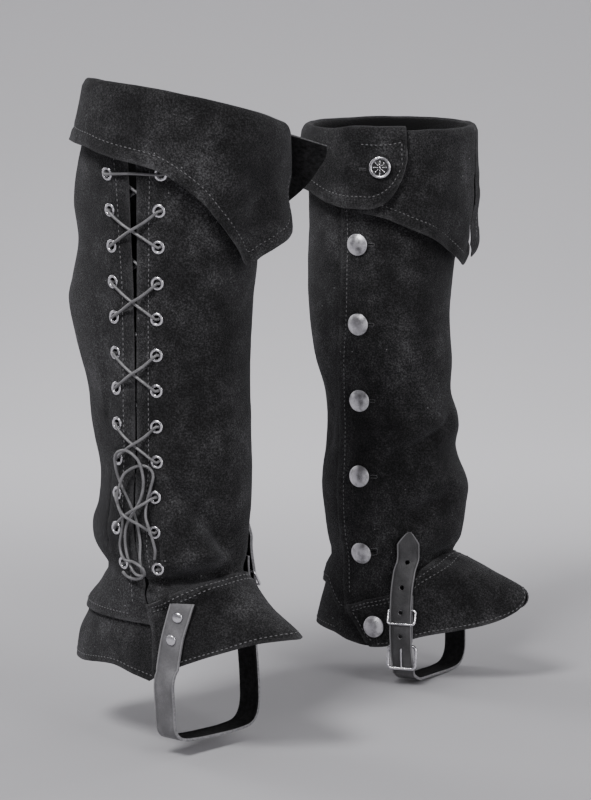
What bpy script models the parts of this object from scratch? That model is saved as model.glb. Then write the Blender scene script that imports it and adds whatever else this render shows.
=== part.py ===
"""A pair of tall suede spats, standing filled out as if on two legs, in millimetres turned to metres.

Each spat is a wall of suede bent round an upright leg axis. A place on the wall is an angle and a
height: 0 degrees is over the toe, +90 the outer side of the leg, -90 the inner side, 180 the heel.
The two spats are cut as mirror images, and each has its own table of sections, because each sags
in its own way. The inner side is laced, the outer side is buttoned.
"""

import math

import bmesh
import bpy
from mathutils import Matrix, Vector

MM = 0.001
WALL = 1.6
AIR = 0.75
LAYER = WALL + AIR
SLIT_ANGLE = -81.0
EYELET_ANGLES = (-97.0, -65.0)
EYELET_ROWS = 12
HOLE_RADIUS = 3.2
LACE_RADIUS = 1.5
BUTTON_ANGLE = 93.0
FLY_ANGLE = 112.0
STRAP_WIDTH = 22.0
STRAP_THICK = 2.6

# Sections of each shaft and foot: height, reach to the heel, reach to the toe, half width, point.
# Point is 0 for an oval front and 1 for a front that comes to a point.
LEFT_SECTIONS = (
    (40, 54, 110, 80, 0.0),
    (0, 65, 111, 79, 0.0),
    (-32, 82, 104, 75, 0.0),
    (-68, 93, 93, 69, 0.0),
    (-103, 90, 86, 65, 0.0),
    (-138, 102, 80, 62, 0.0),
    (-156, 108, 78, 61, 0.0),
    (-192, 98, 76, 60, 0.0),
    (-228, 83, 75, 59, 0.0),
    (-264, 78, 76, 58, 0.0),
    (-300, 67, 78, 57, 0.0),
    (-336, 70, 77, 56, 0.0),
    (-354, 78, 75, 56, 0.0),
    (-373, 77, 73, 55, 0.0),
    (-393, 64, 74, 52, 0.0),
    (-411, 71, 86, 51, 0.1),
    (-420, 80, 97, 50, 0.2),
    (-430, 90, 114, 50, 0.4),
    (-446, 96, 146, 50, 0.6),
    (-464, 103, 150, 51, 0.8),
    (-490, 108, 156, 52, 0.8),
)
RIGHT_SECTIONS = (
    (40, 80, 82, 79, 0.0),
    (0, 80, 81, 78, 0.0),
    (-37, 83, 78, 73, 0.0),
    (-76, 82, 75, 68, 0.0),
    (-116, 84, 69, 63, 0.0),
    (-156, 84, 63, 61, 0.0),
    (-196, 82, 60, 60, 0.0),
    (-237, 75, 63, 59, 0.0),
    (-267, 65, 63, 58, 0.0),
    (-298, 62, 73, 57, 0.0),
    (-326, 64, 69, 57, 0.0),
    (-359, 68, 82, 57, 0.0),
    (-380, 67, 80, 56, 0.0),
    (-410, 63, 76, 55, 0.0),
    (-430, 60, 70, 52, 0.0),
    (-438, 62, 88, 51, 0.1),
    (-446, 65, 110, 50, 0.3),
    (-462, 69, 146, 49, 0.6),
    (-483, 71, 150, 49, 0.7),
    (-505, 76, 150, 50, 0.8),
    (-525, 78, 150, 51, 0.8),
)

# Creases: angle and height at each end, depth (a ridge is negative), half width.
LEFT_FOLDS = (
    (-78, -403, 0, -391, 6.0, 6.0),
    (-82, -372, -20, -374, -4.0, 10.0),
    (-75, -414, -20, -400, -3.5, 6.0),
    (-36, -316, 6, -385, 5.0, 13.0),
    (152, -396, 245, -396, 3.0, 8.0),
    (15, -394, 64, -402, 4.0, 9.0),
)
RIGHT_FOLDS = (
    (68, -441, 10, -429, 5.0, 7.0),
    (56, -322, 2, -288, 4.0, 8.0),
    (66, -386, 20, -362, 4.0, 8.0),
    (152, -434, 245, -432, 3.0, 8.0),
    (-75, -424, -10, -428, 5.0, 7.0),
    (-52, -330, -15, -300, 4.0, 10.0),
)

# The line where the vamp is sewn on: angle, height below its highest point at the front.
SEAM_DROPS = ((-80, 27), (-60, 15), (-34, 5), (0, 0), (37, 6), (65, 19), (81, 39), (101, 51), (112, 54))

# The hem all round the foot: angle, height.
LEFT_HEM = ((-82, -487), (-68, -470), (-47, -452), (-30, -446), (0, -445), (30, -448))
LEFT_HEM += ((60, -460), (84, -468), (106, -470), (140, -478), (180, -485), (222, -487))
LEFT_HEM += ((255, -481), (270, -486), (278, -490))
RIGHT_HEM = ((-82, -512), (-60, -500), (-38, -490), (-20, -478), (0, -462), (21, -480))
RIGHT_HEM += ((38, -491), (59, -501), (68, -506), (84, -519), (106, -517), (123, -511))
RIGHT_HEM += ((180, -509), (230, -513), (278, -516))

# How far the edge of the front panel strays from its mean angle, by shaft row.
FLY_STRAY = ((-1, -7), (1.5, -6), (4, -3), (6.5, 5), (9, 5), (11, 5), (12, -2))

# How far the lacing drifts round the leg, in degrees, by shaft row.
LACING_DRIFT = ((-1, 3.5), (0, 3.5), (1, 2.5), (3, 1.3), (5, 0.2), (7, -0.9), (8, -2))
LACING_DRIFT += ((9, -4), (10, -4), (11, -1), (12, 0))

# Lower edge of each half of the cuff: angle, drop below the rim, stand-off from the shaft.
TAB_END = ((-232, 58, 12), (-253, 69, 12), (-277, 72, 12), (-284, 70, 12))
TAB_END += ((-293, 61, 12), (-300, 42, 12), (-303, 24, 12))
LEFT_LONG_CUFF = (
    (35, 44, 16),
    (30, 70, 22),
    (24, 90, 25),
    (12, 105, 20),
    (4, 115, 15),
    (-5, 125, 13),
    (-13, 116, 14),
    (-27, 97, 16),
    (-39, 81, 16),
    (-59, 65, 14),
    (-81, 60, 12),
    (-104, 54, 11),
    (-150, 48, 11),
    (-190, 52, 12),
) + TAB_END
LEFT_SHORT_CUFF = (
    (88, 80, 12),
    (78, 76, 23),
    (66, 65, 36),
    (58, 53, 42),
    (52, 44, 43),
    (47, 32, 44),
    (43, 21, 46),
    (40, 13, 43),
)
RIGHT_LONG_CUFF = (
    (-9, 126, 15),
    (-20, 118, 19),
    (-40, 100, 19),
    (-60, 88, 15),
    (-83, 76, 12),
    (-130, 64, 11),
    (-190, 58, 12),
) + TAB_END
RIGHT_SHORT_CUFF = (
    (88, 76, 8),
    (74, 79, 10),
    (63, 85, 12),
    (44, 97, 14),
    (25, 112, 14),
    (8, 128, 13),
    (0, 131, 13),
    (-6, 122, 13),
)

# The strap under the sole, from the rivets on the inner side down to where it leaves the foot:
# forward, height below the vamp's seam, distance out from the wall.
STRAP_INNER = ((51, -17, 6.8), (49, -29, 6.5), (47.5, -39, 6.3))
STRAP_INNER += ((45.5, -49, 6.1), (43.5, -62, 6.4), (42, -75, 6.7))
# Its outer end, from below the buckle up to its point: forward, height over the buckle, distance out.
STRAP_OUTER = (
    (41, -16, 7.5),
    (40, -9, 7.7),
    (39, 4, 10.6),
    (39, 12, 12.2),
    (38.5, 24, 13.2),
    (38.5, 36, 13.5),
    (38.5, 48, 13.3),
    (38.5, 60, 11.6),
)
BUCKLE_SIZE = (29.5, 22.0)
BUCKLE_WIRE = 1.6
KEEPER_WIRE = 1.1

# The tied bow on the lacing, from one last eyelet to the other: along, up from that eyelet, out.
BOW_ROUTE = (
    (-20, -7, 4.5),
    (-12, -11, 5.0),
    (-3, -12, 6.0),
    (5, -8, 7.5),
    (9, 0, 8.5),
    (9, 10, 7.5),
    (8, 24, 4.5),
    (-1, 44, 3.4),
    (-20, 70, 4.2),
    (-24, 86, 7.0),
    (-19, 96, 10.5),
    (-10, 100, 10.8),
    (-1, 96, 10.8),
    (4, 88, 9.0),
    (7, 72, 7.0),
    (5, 56, 6.8),
    (-5, 36, 6.8),
    (-7, 20, 6.8),
    (-4, 6, 9.0),
    (3, -3, 12.2),
    (12, -4, 12.2),
    (13, 4, 12.2),
    (4, 8, 12.0),
    (-8, 8, 10.5),
    (-14, 18, 6.0),
    (-13, 37, 3.4),
    (-15, 49, 8.5),
    (-15.5, 58, 11.2),
    (-15, 67, 9.8),
    (-11, 79, 8.0),
    (0, 86, 5.0),
    (9, 85, 3.6),
    (14, 78, 3.6),
    (12, 66, 3.4),
    (10, 54, 3.4),
    (13, 43, 7.5),
    (20, 32, 9.8),
    (24, 18, 6.0),
    (22, 10, 4.5),
)
BOW_POINTS = 64

SHAFT_ROWS = (-1, 0, 1, 1.4, 2, 3, 4, 5, 6, 6.5, 7, 8, 9, 10, 10.5, 11, 11.2, 11.5, 11.8, 12)
SEAM_ROW = 11.8
FRONT_COLUMNS = (-81, -65, -54, -41, -28, -14, 0, 15, 30, 46, 62, 78, 93, 112)
BACK_COLUMNS = (78, 93, 112, 128, 145, 162, 180, 198, 215, 232, 248, 263, 279)
BUTTON_ROWS = (1.4, 4, 6.5, 9, 11.2)
VAMP_ROWS = (0, 0.15, 0.3, 0.42, 0.55, 0.7, 0.85, 1)
VAMP_COLUMNS = (-81, -73, -65, -54, -41, -28, -14, -6, 0, 6, 15, 30, 46, 62, 76, 87, 98, 112)
FOOT_SEAM_ROW = 0.15
VAMP_BUTTON, VAMP_BUTTON_ROW = 98, 0.55
VAMP_EDGE = (108, 88)
VAMP_LEAN_FROM = 46
HEEL_COLUMNS = (78, 93, 112, 128, 145, 162, 180, 198, 215, 232, 248, 263, 274, 284)
HEEL_ROWS = (0, 0.15, 0.4, 0.7, 1)
DEGREE_LENGTH = 1.33
EYELET_REACH = 21.0
SEAM_TURN = 5.0
TOP_EDGE = 3.0
SLIT_TOP = 2.4
SLIT_FOOT = 0.8
VAMP_OUT = LAYER + 0.8

# The folded cuff's section: steps outward and up from the shaft's top edge, before it hangs free.
CUFF_TURN = ((-4.2, -17), (-4.2, -3), (-0.8, 2.6), (3.2, 2.8), (6.2, -2.5))
CUFF_HANGS = (0.33, 0.67, 1.0)

# Turned pieces: radius and distance along the axis, from foot to crown.
BUTTON_PROFILE = ((0, 0), (1.4, 0), (1.4, 3.4), (10.0, 4.2), (10.0, 5.0), (8.2, 6.8), (4.6, 8.2), (0, 8.6))
RING_PROFILE = ((0, 0), (7.5, 0), (9.5, 1.0), (9.5, 2.4), (8.3, 3.3), (6.7, 3.2), (5.8, 2.2), (0, 1.9))
RIVET_PROFILE = ((0, 0), (4.8, 0), (4.7, 0.9), (3.2, 1.8), (0, 2.2))
RING_ANGLE = 73
RING_DROP = 31
TAB_FROM = -268
TAB_COLUMNS = (88, 81, 74, 67, 60, 57)
TAB_LAYER = LAYER + 1.2
RIVET_HEIGHTS = (-29, -49)

STRAP_POINT = {-1: 0.1, -2: 0.72}
SOLE_POINTS = 18
BUCKLE_FORWARD = 39.5
BUCKLE_OUT = (11.4, 8.3)
PRONG_ROUTE = ((-9.2, 11.4), (0, 12.9), (9.5, 14.4))
PRONG_RADIUS = 1.0
KEEPER_SIZE = (27.5, 13.0)
KEEPER_OUT = (16.4, 10.4)
KEEPER_UP = 41
CHAPE_HEIGHTS = (15, 27, 39, 51, 62)
CHAPE_OUT = 7.7
CHAPE_WIDTH = 20.0
CHAPE_THICK = 2.2
LACE_OUT = 3.0
LACE_IN = -3.4
LACE_CROSS = 3.4
BOW_ROW = 9
BOW_LIFT = 12.0


class Spat:
    """One spat: where it stands, which way it points, its levels and its tables."""

    def __init__(self, name, side, place, yaw):
        turn = math.radians(yaw)
        self.name = name
        self.place = Vector((*place, 0.0))
        self.toe = Vector((math.cos(turn), -math.sin(turn), 0.0))
        self.outer = Vector((math.sin(turn), math.cos(turn), 0.0)) * side

    def to_world(self, point):
        """Turns forward, outward and height into a place in the room, in metres."""
        flat = self.toe * point[0] + self.outer * point[1]
        return (self.place + flat + Vector((0, 0, point[2]))) * MM

    def direction(self, way):
        """Turns a forward, outward and upward direction into the room's."""
        return (self.toe * way[0] + self.outer * way[1] + Vector((0, 0, way[2]))).normalized()


def left_spat():
    spat = Spat("left", 1, (-112, -130), 38)
    spat.sections, spat.folds, spat.hem = LEFT_SECTIONS, LEFT_FOLDS, LEFT_HEM
    spat.inner_lean = 0
    spat.long_cuff, spat.short_cuff = LEFT_LONG_CUFF, LEFT_SHORT_CUFF
    spat.rim = (13.4, 11.5, 18.4)
    spat.first_eyelet, spat.eyelet_step = -43, 31.2
    spat.seam, spat.heel_seam, spat.buckle = -399, -434, -450
    spat.sole_route = ((41, -57.5, -487), (39, -54, -510), (38, -51, -530), (38.5, -43, -539))
    spat.sole_route += ((40, -25, -542), (43, 0, -543), (46, 25, -543), (48, 43, -540))
    spat.sole_route += ((48, 52, -528), (46, 55, -505))
    spat.strap_tail = ((39, 70, 9.5), (40, 80, 8.5), (40.5, 87, 8), (41, 92, 7.5))
    return spat


def right_spat():
    spat = Spat("right", -1, (94, 130), 26)
    spat.sections, spat.folds, spat.hem = RIGHT_SECTIONS, RIGHT_FOLDS, RIGHT_HEM
    spat.inner_lean = 6
    spat.long_cuff, spat.short_cuff = RIGHT_LONG_CUFF, RIGHT_SHORT_CUFF
    spat.rim = (-4, 3, 6.5)
    spat.first_eyelet, spat.eyelet_step = -75, 30.2
    spat.seam, spat.heel_seam, spat.buckle = -432, -459, -526
    spat.sole_route = ((52, -54, -506), (52.5, -55, -526), (52.5, -53, -542), (51, -44, -552))
    spat.sole_route += ((49, -25, -554), (46, 0, -553), (43, 25, -552), (42.5, 40, -550.5))
    spat.sole_route += ((42, 50, -546),)
    spat.strap_tail = ((38.8, 75, 10), (39.5, 93, 8.5), (41.5, 113, 7.5), (42.2, 119, 7.2), (43, 125, 7))
    return spat


def between(table, key):
    """The row of a table at this key, on a smooth curve through its rows."""
    rows = sorted(table)
    if key <= rows[0][0]:
        return rows[0][1:]
    if key >= rows[-1][0]:
        return rows[-1][1:]
    i = next(i for i in range(len(rows) - 1) if rows[i + 1][0] >= key)
    low, high = rows[i], rows[i + 1]
    before = rows[max(i - 1, 0)]
    after = rows[min(i + 2, len(rows) - 1)]
    span = high[0] - low[0]
    t = (key - low[0]) / span
    found = []
    for k in range(1, len(low)):
        slope_in = (high[k] - before[k]) / (high[0] - before[0]) * span
        slope_out = (after[k] - low[k]) / (after[0] - low[0]) * span
        value = low[k] * (2 * t**3 - 3 * t**2 + 1) + high[k] * (3 * t**2 - 2 * t**3)
        value += slope_in * (t**3 - 2 * t**2 + t) + slope_out * (t**3 - t**2)
        found.append(value)
    return tuple(found)


def ease(low, high, value):
    """0 below low, 1 above high, and a smooth step between."""
    t = min(max((value - low) / (high - low), 0.0), 1.0)
    return t * t * (3 - 2 * t)


def wrapped(angle):
    """The same angle counted from the lacing, round by the toe."""
    return (angle + 110) % 360 - 110


def section_point(spat, angle, height):
    """The middle of the wall with no folds in it."""
    back, front, half, point = between(spat.sections, height)
    forward = math.cos(math.radians(angle))
    outward = math.sin(math.radians(angle))
    reach = front if forward > 0 else back
    narrow = 1 + point * ease(0.0, 0.5, forward)
    return Vector((reach * forward, math.copysign(half * abs(outward) ** narrow, outward), height))


def wall_normal(spat, angle, height):
    """The way out of the wall at this place."""
    along = section_point(spat, angle + 1, height) - section_point(spat, angle - 1, height)
    up = section_point(spat, angle, height + 3) - section_point(spat, angle, height - 3)
    return along.cross(up).normalized()


def level_normal(spat, angle, height):
    """The way out of the wall, kept level."""
    normal = wall_normal(spat, angle, height)
    normal.z = 0
    return normal.normalized()


def fold_depth(spat, angle, height):
    """How far the creases push the wall in at this place."""
    angle = wrapped(angle)
    depth = 0.0
    for angle_a, height_a, angle_b, height_b, deep, wide in spat.folds:
        along = Vector(((angle_b - angle_a) * DEGREE_LENGTH, height_b - height_a))
        here = Vector(((angle - angle_a) * DEGREE_LENGTH, height - height_a))
        t = here.dot(along) / along.length_squared
        aside = (here - along * t).length
        fade = ease(-0.15, 0.15, t) * (1 - ease(0.85, 1.15, t))
        depth += deep * fade * math.exp(-((aside / wide) ** 2))
    return depth


def wall_point(spat, angle, height, out=0.0):
    """A place on the wall, or this far outside it."""
    push = out - fold_depth(spat, angle, height)
    return section_point(spat, angle, height) + wall_normal(spat, angle, height) * push


def side_angle(spat, side, forward, height):
    """The angle on the inner (-1) or outer (1) side of the wall this far forward."""
    front = between(spat.sections, height)[1]
    return side * math.degrees(math.acos(forward / front))


def side_point(spat, side, forward, height, out):
    """A place on the smooth side of the foot, moved out, and the level way along the wall there."""
    angle = side_angle(spat, side, forward, height)
    normal = level_normal(spat, angle, height)
    along = Vector((abs(normal.y), -normal.x * side, 0))
    return section_point(spat, angle, height) + normal * out, along, normal


def plain_finish(name, colour, roughness, metallic=0.0):
    finish = bpy.data.materials.new(name)
    finish.use_nodes = True
    shader = finish.node_tree.nodes["Principled BSDF"]
    shader.inputs["Base Color"].default_value = (*colour, 1.0)
    shader.inputs["Roughness"].default_value = roughness
    shader.inputs["Metallic"].default_value = metallic
    return finish


SUEDE = ((0.035, 0.034, 0.036), 0.95)
GREY_LEATHER = ((0.30, 0.30, 0.31), 0.55)
SILVER = ((0.75, 0.75, 0.76), 0.3, 1.0)
LACE_GREY = ((0.35, 0.35, 0.36), 0.7)


def add_object(name, bm, finish, smooth=True):
    """Puts a finished bmesh in the scene as one named piece."""
    bmesh.ops.recalc_face_normals(bm, faces=bm.faces)
    mesh = bpy.data.meshes.new(name)
    bm.to_mesh(mesh)
    bm.free()
    mesh.materials.append(plain_finish(name, *finish))
    piece = bpy.data.objects.new(name, mesh)
    bpy.context.scene.collection.objects.link(piece)
    if smooth:
        mesh.shade_smooth()
    return piece


def thicken(piece, thickness):
    """Gives an open sheet its wall."""
    wall = piece.modifiers.new("wall", "SOLIDIFY")
    wall.thickness = thickness * MM
    wall.offset = 0.0
    wall.use_even_offset = True
    wall.use_quality_normals = True


def sheet(spat, name, columns, rows, place, holes=(), radius=HOLE_RADIUS):
    """A panel cut as a grid: place(column, row) gives each corner. Holes are (column, row) pairs."""
    bm = bmesh.new()
    bmesh.ops.create_grid(bm, x_segments=len(columns) - 1, y_segments=len(rows) - 1, size=1.0)
    pierced = []
    for vert in bm.verts:
        column = columns[round((vert.co.x + 1) / 2 * (len(columns) - 1))]
        row = rows[round((vert.co.y + 1) / 2 * (len(rows) - 1))]
        vert.co = spat.to_world(place(column, row))
        if (column, row) in holes:
            pierced.append(vert)
    if pierced:
        bmesh.ops.bevel(
            bm, geom=pierced, offset=radius * MM, affect="VERTICES", segments=1, profile=0.5, material=-1
        )
        small = [face for face in bm.faces if face.calc_area() < (radius * MM) ** 2 * 2.2]
        bmesh.ops.delete(bm, geom=small, context="FACES_ONLY")
    piece = add_object(f"{spat.name}_{name}", bm, SUEDE)
    thicken(piece, WALL)


def rim_height(spat, angle):
    level, forward, outward = spat.rim
    turn = math.radians(angle)
    return level - forward * math.cos(turn) - outward * math.sin(turn)


def hem_height(spat, angle):
    return between(spat.hem, (angle + 82) % 360 - 82)[0]


def seam_height(spat, angle):
    """Where the vamp's upper edge is sewn to the front panel."""
    return spat.seam - between(SEAM_DROPS, angle)[0]


def lower_edge(spat, angle):
    """The lower edge of the shaft, just under the vamp and the heel piece."""
    heel = spat.heel_seam - SEAM_TURN
    if angle > FLY_ANGLE + 30:
        return heel
    front = seam_height(spat, angle) - SEAM_TURN
    return front + (heel - front) * ease(FLY_ANGLE, FLY_ANGLE + 30, angle)


def shaft_height(spat, angle, row):
    """Rows 0 to 11 are the eyelet rows, -1 is the top edge, and the last two lie along the seam."""
    last_row = EYELET_ROWS - 1
    if row < 0:
        top = rim_height(spat, angle) - TOP_EDGE
        return spat.first_eyelet + (top - spat.first_eyelet) * -row
    height = spat.first_eyelet - spat.eyelet_step * min(row, last_row)
    low = lower_edge(spat, angle)
    above = low + 2 * SEAM_TURN
    if row > SEAM_ROW:
        return above + (low - above) * (row - SEAM_ROW) / (SHAFT_ROWS[-1] - SEAM_ROW)
    return height + (above - height) * max(row - last_row, 0) / (SEAM_ROW - last_row)


def front_out(angle):
    """The front panel lies on the back panel at the buttons and level with it at the lacing."""
    angle = wrapped(angle)
    return LAYER * ease(-40, 60, angle) * (1 - ease(FLY_ANGLE, 200, angle))


def panel_angle(angle, row):
    """Moves the edges at the lacing slit and at the fly to where they are in this row."""
    turn = wrapped(angle)
    gap = SLIT_TOP + (SLIT_FOOT - SLIT_TOP) * ease(0, 6, row)
    aside = abs(turn - SLIT_ANGLE)
    near = 1 - ease(0, 10, aside)
    drift = between(LACING_DRIFT, row)[0] * (1 - ease(24, 60, aside))
    near_fly = ease(BUTTON_ANGLE, FLY_ANGLE, turn) * (1 - ease(FLY_ANGLE, 150, turn))
    stray = between(FLY_STRAY, row)[0] * near_fly
    return angle + stray + drift + (gap if angle < 0 else -gap) * near


def make_shaft(spat):
    def front(angle, row):
        angle = panel_angle(angle, row)
        return wall_point(spat, angle, shaft_height(spat, angle, row), front_out(angle))

    def back(angle, row):
        angle = panel_angle(angle, row)
        return wall_point(spat, angle, shaft_height(spat, angle, row), 0.0)

    front_holes = [(EYELET_ANGLES[1], row) for row in range(EYELET_ROWS)]
    front_holes += [(BUTTON_ANGLE, row) for row in BUTTON_ROWS]
    back_holes = [(EYELET_ANGLES[0] + 360, row) for row in range(EYELET_ROWS)]
    sheet(spat, "front_panel", FRONT_COLUMNS, SHAFT_ROWS, front, front_holes)
    sheet(spat, "back_panel", BACK_COLUMNS, SHAFT_ROWS, back, back_holes)


def foot_height(spat, angle, top, row):
    """The first rows of the foot's pieces lie along the seam, the rest spread down to the hem."""
    if row <= FOOT_SEAM_ROW:
        return top - 2 * SEAM_TURN * row / FOOT_SEAM_ROW
    low = top - 2 * SEAM_TURN
    return low + (hem_height(spat, angle) - low) * (row - FOOT_SEAM_ROW) / (1 - FOOT_SEAM_ROW)


def vamp_place(spat, angle, row):
    """The vamp's back edge leans forward towards the hem, and its outer side is drawn in with it."""
    edge = VAMP_EDGE[0] + (VAMP_EDGE[1] - VAMP_EDGE[0]) * row
    if angle > VAMP_LEAN_FROM:
        share = (angle - VAMP_LEAN_FROM) / (VAMP_COLUMNS[-1] - VAMP_LEAN_FROM)
        angle = VAMP_LEAN_FROM + share * (edge - VAMP_LEAN_FROM)
    return angle, foot_height(spat, angle, seam_height(spat, angle) + SEAM_TURN, row)


def make_foot(spat):
    def vamp(angle, row):
        angle, height = vamp_place(spat, angle, row)
        return wall_point(spat, angle, height, front_out(angle) + VAMP_OUT)

    def heel(angle, row):
        height = foot_height(spat, angle, spat.heel_seam + SEAM_TURN, row)
        return wall_point(spat, angle, height, -VAMP_OUT)

    sheet(spat, "vamp", VAMP_COLUMNS, VAMP_ROWS, vamp, [(VAMP_BUTTON, VAMP_BUTTON_ROW)], 5.2)
    sheet(spat, "heel_piece", HEEL_COLUMNS, HEEL_ROWS, heel)


def cuff_point(spat, layer, angle, out, drop):
    """A place on the cuff: this far out from the shaft and this far below the rim."""
    height = rim_height(spat, angle) - drop
    if out > 0:
        out += front_out(angle) + layer
    else:
        out -= layer
    return section_point(spat, angle, height) + level_normal(spat, angle, height) * out


def cuff_out(drop, edge_drop, stand):
    """How far out the free part of a cuff hangs at this drop, on the line to its lower edge."""
    start_out, start_up = CUFF_TURN[-1]
    return start_out + (stand - start_out) * (drop + start_up) / (edge_drop + start_up)


def cuff_edge(spat, half, angle):
    """Drop and stand-off of the lower edge. The tab lies on the short half and stands off with it."""
    if half == "short_cuff":
        return between(spat.short_cuff, angle)
    drop, stand = between(spat.long_cuff, angle)
    if angle < TAB_FROM:
        under_drop, under_stand = between(spat.short_cuff, angle + 360)
        stand = max(stand, cuff_out(drop, under_drop, under_stand))
    return drop, stand


def make_cuff(spat, half, columns):
    """Half a cuff: its inner turn-in, the fold over the rim, and the part that hangs free."""

    def place(angle, row):
        layer = TAB_LAYER * (1 - ease(TAB_FROM, TAB_FROM + 18, angle))
        if row < len(CUFF_TURN):
            out, up = CUFF_TURN[row]
            return cuff_point(spat, layer, angle, out, -up - (layer if up > 0 else 0))
        edge_drop, stand = cuff_edge(spat, half, angle)
        start_up = CUFF_TURN[-1][1]
        drop = -start_up + (edge_drop + start_up) * CUFF_HANGS[row - len(CUFF_TURN)]
        return cuff_point(spat, layer, angle, cuff_out(drop, edge_drop, stand), drop)

    sheet(spat, half, columns, tuple(range(len(CUFF_TURN) + len(CUFF_HANGS))), place)


def filled(angles, widest):
    """These columns, with more spaced evenly between any two that are further apart than this."""
    columns = []
    for a, b in zip(angles, angles[1:]):
        steps = math.ceil(abs(b - a) / widest)
        columns += [a + (b - a) * i / steps for i in range(steps)]
    return (*columns, angles[-1])


def make_cuffs(spat):
    tab = tuple(angle - 360 for angle in TAB_COLUMNS)
    around = tuple(row[0] for row in spat.long_cuff if row[0] > tab[0] + 3)
    make_cuff(spat, "long_cuff", filled(around + tab, 21))
    front = tuple(row[0] for row in spat.short_cuff if row[0] < TAB_COLUMNS[-2] - 4)
    make_cuff(spat, "short_cuff", filled(TAB_COLUMNS[:-1] + front, 11))


def smooth_path(points, count):
    """This many points, evenly spaced along a smooth curve through the route's own points."""
    table = [(i, *point) for i, point in enumerate(points)]
    steps = 24 * (len(points) - 1)
    fine = [Vector(between(table, i * (len(points) - 1) / steps)) for i in range(steps + 1)]
    lengths = [0.0]
    for a, b in zip(fine, fine[1:]):
        lengths.append(lengths[-1] + (b - a).length)
    path = []
    j = 0
    for i in range(count):
        want = lengths[-1] * i / (count - 1)
        while j < len(lengths) - 2 and lengths[j + 1] < want:
            j += 1
        t = (want - lengths[j]) / (lengths[j + 1] - lengths[j])
        path.append(fine[j].lerp(fine[j + 1], t))
    return path


def ribbon(spat, name, stations, thickness):
    """A strap through stations of (middle, vector to its edge), as an open sheet with a wall."""
    bm = bmesh.new()
    bmesh.ops.create_grid(bm, x_segments=1, y_segments=len(stations) - 1, size=1.0)
    for vert in bm.verts:
        middle, half = stations[round((vert.co.y + 1) / 2 * (len(stations) - 1))]
        vert.co = spat.to_world(middle + half * vert.co.x)
    piece = add_object(f"{spat.name}_{name}", bm, GREY_LEATHER, smooth=False)
    thicken(piece, thickness)


def wire(spat, name, points, radius, closed, finish=SILVER):
    """A round wire or cord through these points."""
    curve = bpy.data.curves.new(name, "CURVE")
    curve.dimensions = "3D"
    curve.bevel_depth = radius * MM
    curve.bevel_resolution = 2
    curve.use_fill_caps = True
    spline = curve.splines.new("POLY")
    spline.points.add(len(points) - 1)
    for corner, point in zip(spline.points, points):
        corner.co = (*spat.to_world(point), 1.0)
    spline.use_cyclic_u = closed
    curve.materials.append(plain_finish(name, *finish))
    piece = bpy.data.objects.new(f"{spat.name}_{name}", curve)
    bpy.context.scene.collection.objects.link(piece)


def make_under_strap(spat):
    """Riveted on the inner side, under the sole, up the outer side, through the buckle."""
    half = STRAP_WIDTH / 2
    stations = []
    for forward, up, out in STRAP_INNER:
        middle, along, _ = side_point(spat, -1, forward + spat.inner_lean, spat.seam + up, out)
        stations.append((middle, along * half))
    outer = []
    rows = STRAP_OUTER + spat.strap_tail
    for i, (forward, up, out) in enumerate(rows):
        middle, along, _ = side_point(spat, 1, forward, spat.buckle + up, out)
        taper = STRAP_POINT.get(i - len(rows), 1.0)
        outer.append((middle, along * half * taper))
    route = [stations[-1][0], *(Vector(point) for point in spat.sole_route), outer[0][0]]
    for middle in smooth_path(route, SOLE_POINTS)[1:-1]:
        stations.append((middle, Vector((half, 0, 0))))
    ribbon(spat, "under_strap", stations + outer, STRAP_THICK)


def buckle_point(spat, along, up, out):
    """A place by the buckle: along the foot, over the buckle's middle, out from the wall."""
    middle, way, _ = side_point(spat, 1, BUCKLE_FORWARD, spat.buckle + up, out)
    return middle + way * along


def rounded_loop(wide, tall, corner):
    """Corners of a rectangle with small rounds, as (along, share of the height) pairs."""
    loop = []
    for way_x, way_z, start in ((1, 1, 0), (-1, 1, 90), (-1, -1, 180), (1, -1, 270)):
        for turn in (15, 45, 75):
            angle = math.radians(start + turn)
            x = way_x * (wide / 2 - corner) + corner * math.cos(angle)
            z = way_z * (tall / 2 - corner) + corner * math.sin(angle)
            loop.append((x, z))
    return loop


def make_buckle(spat):
    wide, tall = BUCKLE_SIZE
    low, high = BUCKLE_OUT
    frame = []
    for x, z in rounded_loop(wide, tall, 4.0):
        frame.append(buckle_point(spat, x, z, low + (high - low) * (z / tall + 0.5)))
    wire(spat, "buckle_frame", frame, BUCKLE_WIRE, True)
    prong = [buckle_point(spat, 0, up, out) for up, out in PRONG_ROUTE]
    wire(spat, "prong", prong, PRONG_RADIUS, False)
    loop = []
    for x, z in rounded_loop(KEEPER_SIZE[0], KEEPER_SIZE[1], 2.5):
        share = z / KEEPER_SIZE[1] + 0.5
        out = KEEPER_OUT[0] + (KEEPER_OUT[1] - KEEPER_OUT[0]) * share
        loop.append(buckle_point(spat, x, KEEPER_UP + z, out))
    wire(spat, "keeper", loop, KEEPER_WIRE, True)
    stations = []
    for up in CHAPE_HEIGHTS:
        middle, along, _ = side_point(spat, 1, BUCKLE_FORWARD, spat.buckle + up, CHAPE_OUT)
        stations.append((middle, along * CHAPE_WIDTH / 2))
    ribbon(spat, "chape", stations, CHAPE_THICK)


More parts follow.
